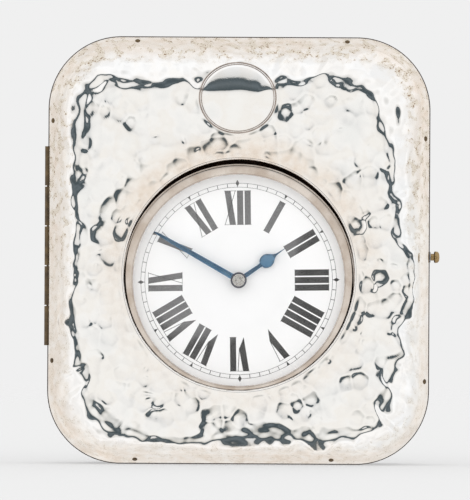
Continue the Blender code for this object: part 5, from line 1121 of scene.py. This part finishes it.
def finish_nodes():
    """Every CAD node that is still shown gets its slot's finish and slightly eased edges."""
    slots = {part["node"]: part["material_slot"] for part in frame["record"]["subparts"]}
    for name, item in frame["nodes"].items():
        slot = slots[name]
        item.data.materials.clear()
        finish = DARK_BRASS if name.startswith("hinge_") else FINISHES[slot]
        item.data.materials.append(finish.material)
        edge = item.modifiers.new("eased_edge", "BEVEL")
        edge.width = FINE_EDGE if slot in ("steel", "gilt_brass", "blued_steel") else EASED_EDGE
        edge.segments = 2
        edge.limit_method = "ANGLE"
        edge.angle_limit = radians(EDGE_ANGLE)
        edge.harden_normals = True


# Camera, studio and floor


def add_camera():
    """The photograph's view."""
    data = bpy.data.cameras.new("camera")
    data.sensor_fit = "VERTICAL"
    data.sensor_height = SENSOR
    data.lens = SENSOR * VIEW_DISTANCE / VIEW_HEIGHT
    item = bpy.data.objects.new("camera", data)
    bpy.context.scene.collection.objects.link(item)
    item.location = (VIEW_X, VIEW_PLANE_Y - VIEW_DISTANCE, VIEW_Z)
    item.rotation_euler = (pi / 2, -VIEW_ROLL, 0)
    bpy.context.scene.camera = item


def add_studio():
    """Pale light all round. Polished metal mirrors a thin dark band, and faint clouds at the sides."""
    world = bpy.data.worlds.new("studio")
    bpy.context.scene.world = world
    world.use_nodes = True
    s = Nodes(world.node_tree, "Generated")
    ahead = (0, -cos(BAND_TILT), -sin(BAND_TILT))
    towards = s.add("ShaderNodeVectorMath", {0: s.place, 1: ahead}, operation="DOT_PRODUCT")
    shift = s.math("MULTIPLY_ADD", s.noise(BAND_WAVE_SIZE, 2), BAND_WAVE, -BAND_WAVE / 2)
    front = s.math("ADD", towards.outputs["Value"], shift)
    height = s.add("ShaderNodeSeparateXYZ", {0: s.place}).outputs["Z"]
    below = s.ramp(s.math("MULTIPLY", height, -1.0), [(0.02, 0.0), (0.12, 1.0)])
    band = s.mix(below, s.ramp(front, BAND_ABOVE), s.ramp(front, BAND_BELOW))
    clouds = s.ramp(s.noise(CLOUD_SIZE, 2), [(0.4, 0.0), (0.6, 1.0)])
    aside = s.ramp(front, [(0.62, 1.0), (0.82, 0.0)])
    mirrored = s.mix(s.math("MULTIPLY", clouds, aside), band, CLOUD_LEVEL, "MULTIPLY")
    rays = s.add("ShaderNodeLightPath").outputs
    seen = s.mix(rays["Is Glossy Ray"], LIGHT_LEVEL, mirrored)
    background = world.node_tree.nodes["Background"]
    s.feed(background.inputs["Color"], s.mix(rays["Is Camera Ray"], seen, BACKDROP))


def add_floor():
    """A pale round floor that fades into the background."""
    f = Finish("floor", FLOOR_COLOUR, 1)
    f.set("Specular IOR Level", 0)
    inputs = {"Value": f.length(f.place), "From Min": FLOOR_FADE, "From Max": FLOOR_RADIUS,
              "To Min": FLOOR_COVER, "To Max": 0}
    fade = f.add("ShaderNodeMapRange", inputs, interpolation_type="SMOOTHSTEP")
    f.set("Alpha", fade.outputs["Result"])
    mesh = bpy.data.meshes.new("floor")
    edge = [(FLOOR_RADIUS * cos(a), FLOOR_RADIUS * sin(a), 0) for a in full_turn(FLOOR_STEPS)]
    mesh.from_pydata(edge, [], [tuple(range(FLOOR_STEPS))])
    mesh.materials.append(f.material)
    floor = bpy.data.objects.new("floor", mesh)
    floor.location.z = -FLOOR_DROP
    floor.visible_glossy = False
    bpy.context.scene.collection.objects.link(floor)


silver_sheet()
sheet_wire("cartouche_line", 1.0, 0.21 * MM)
sheet_wire("cartouche_line_inner", 0.95, 0.13 * MM)
silver_pins()
bezel()
crystal()
numerals()
minute_track()
hands()
watch_case()
crown()
bow()
leather_tray()
cover_body()
button()
button_spring()
finish_nodes()
add_camera()
add_studio()
add_floor()
bpy.context.scene.view_settings.view_transform = "Standard"
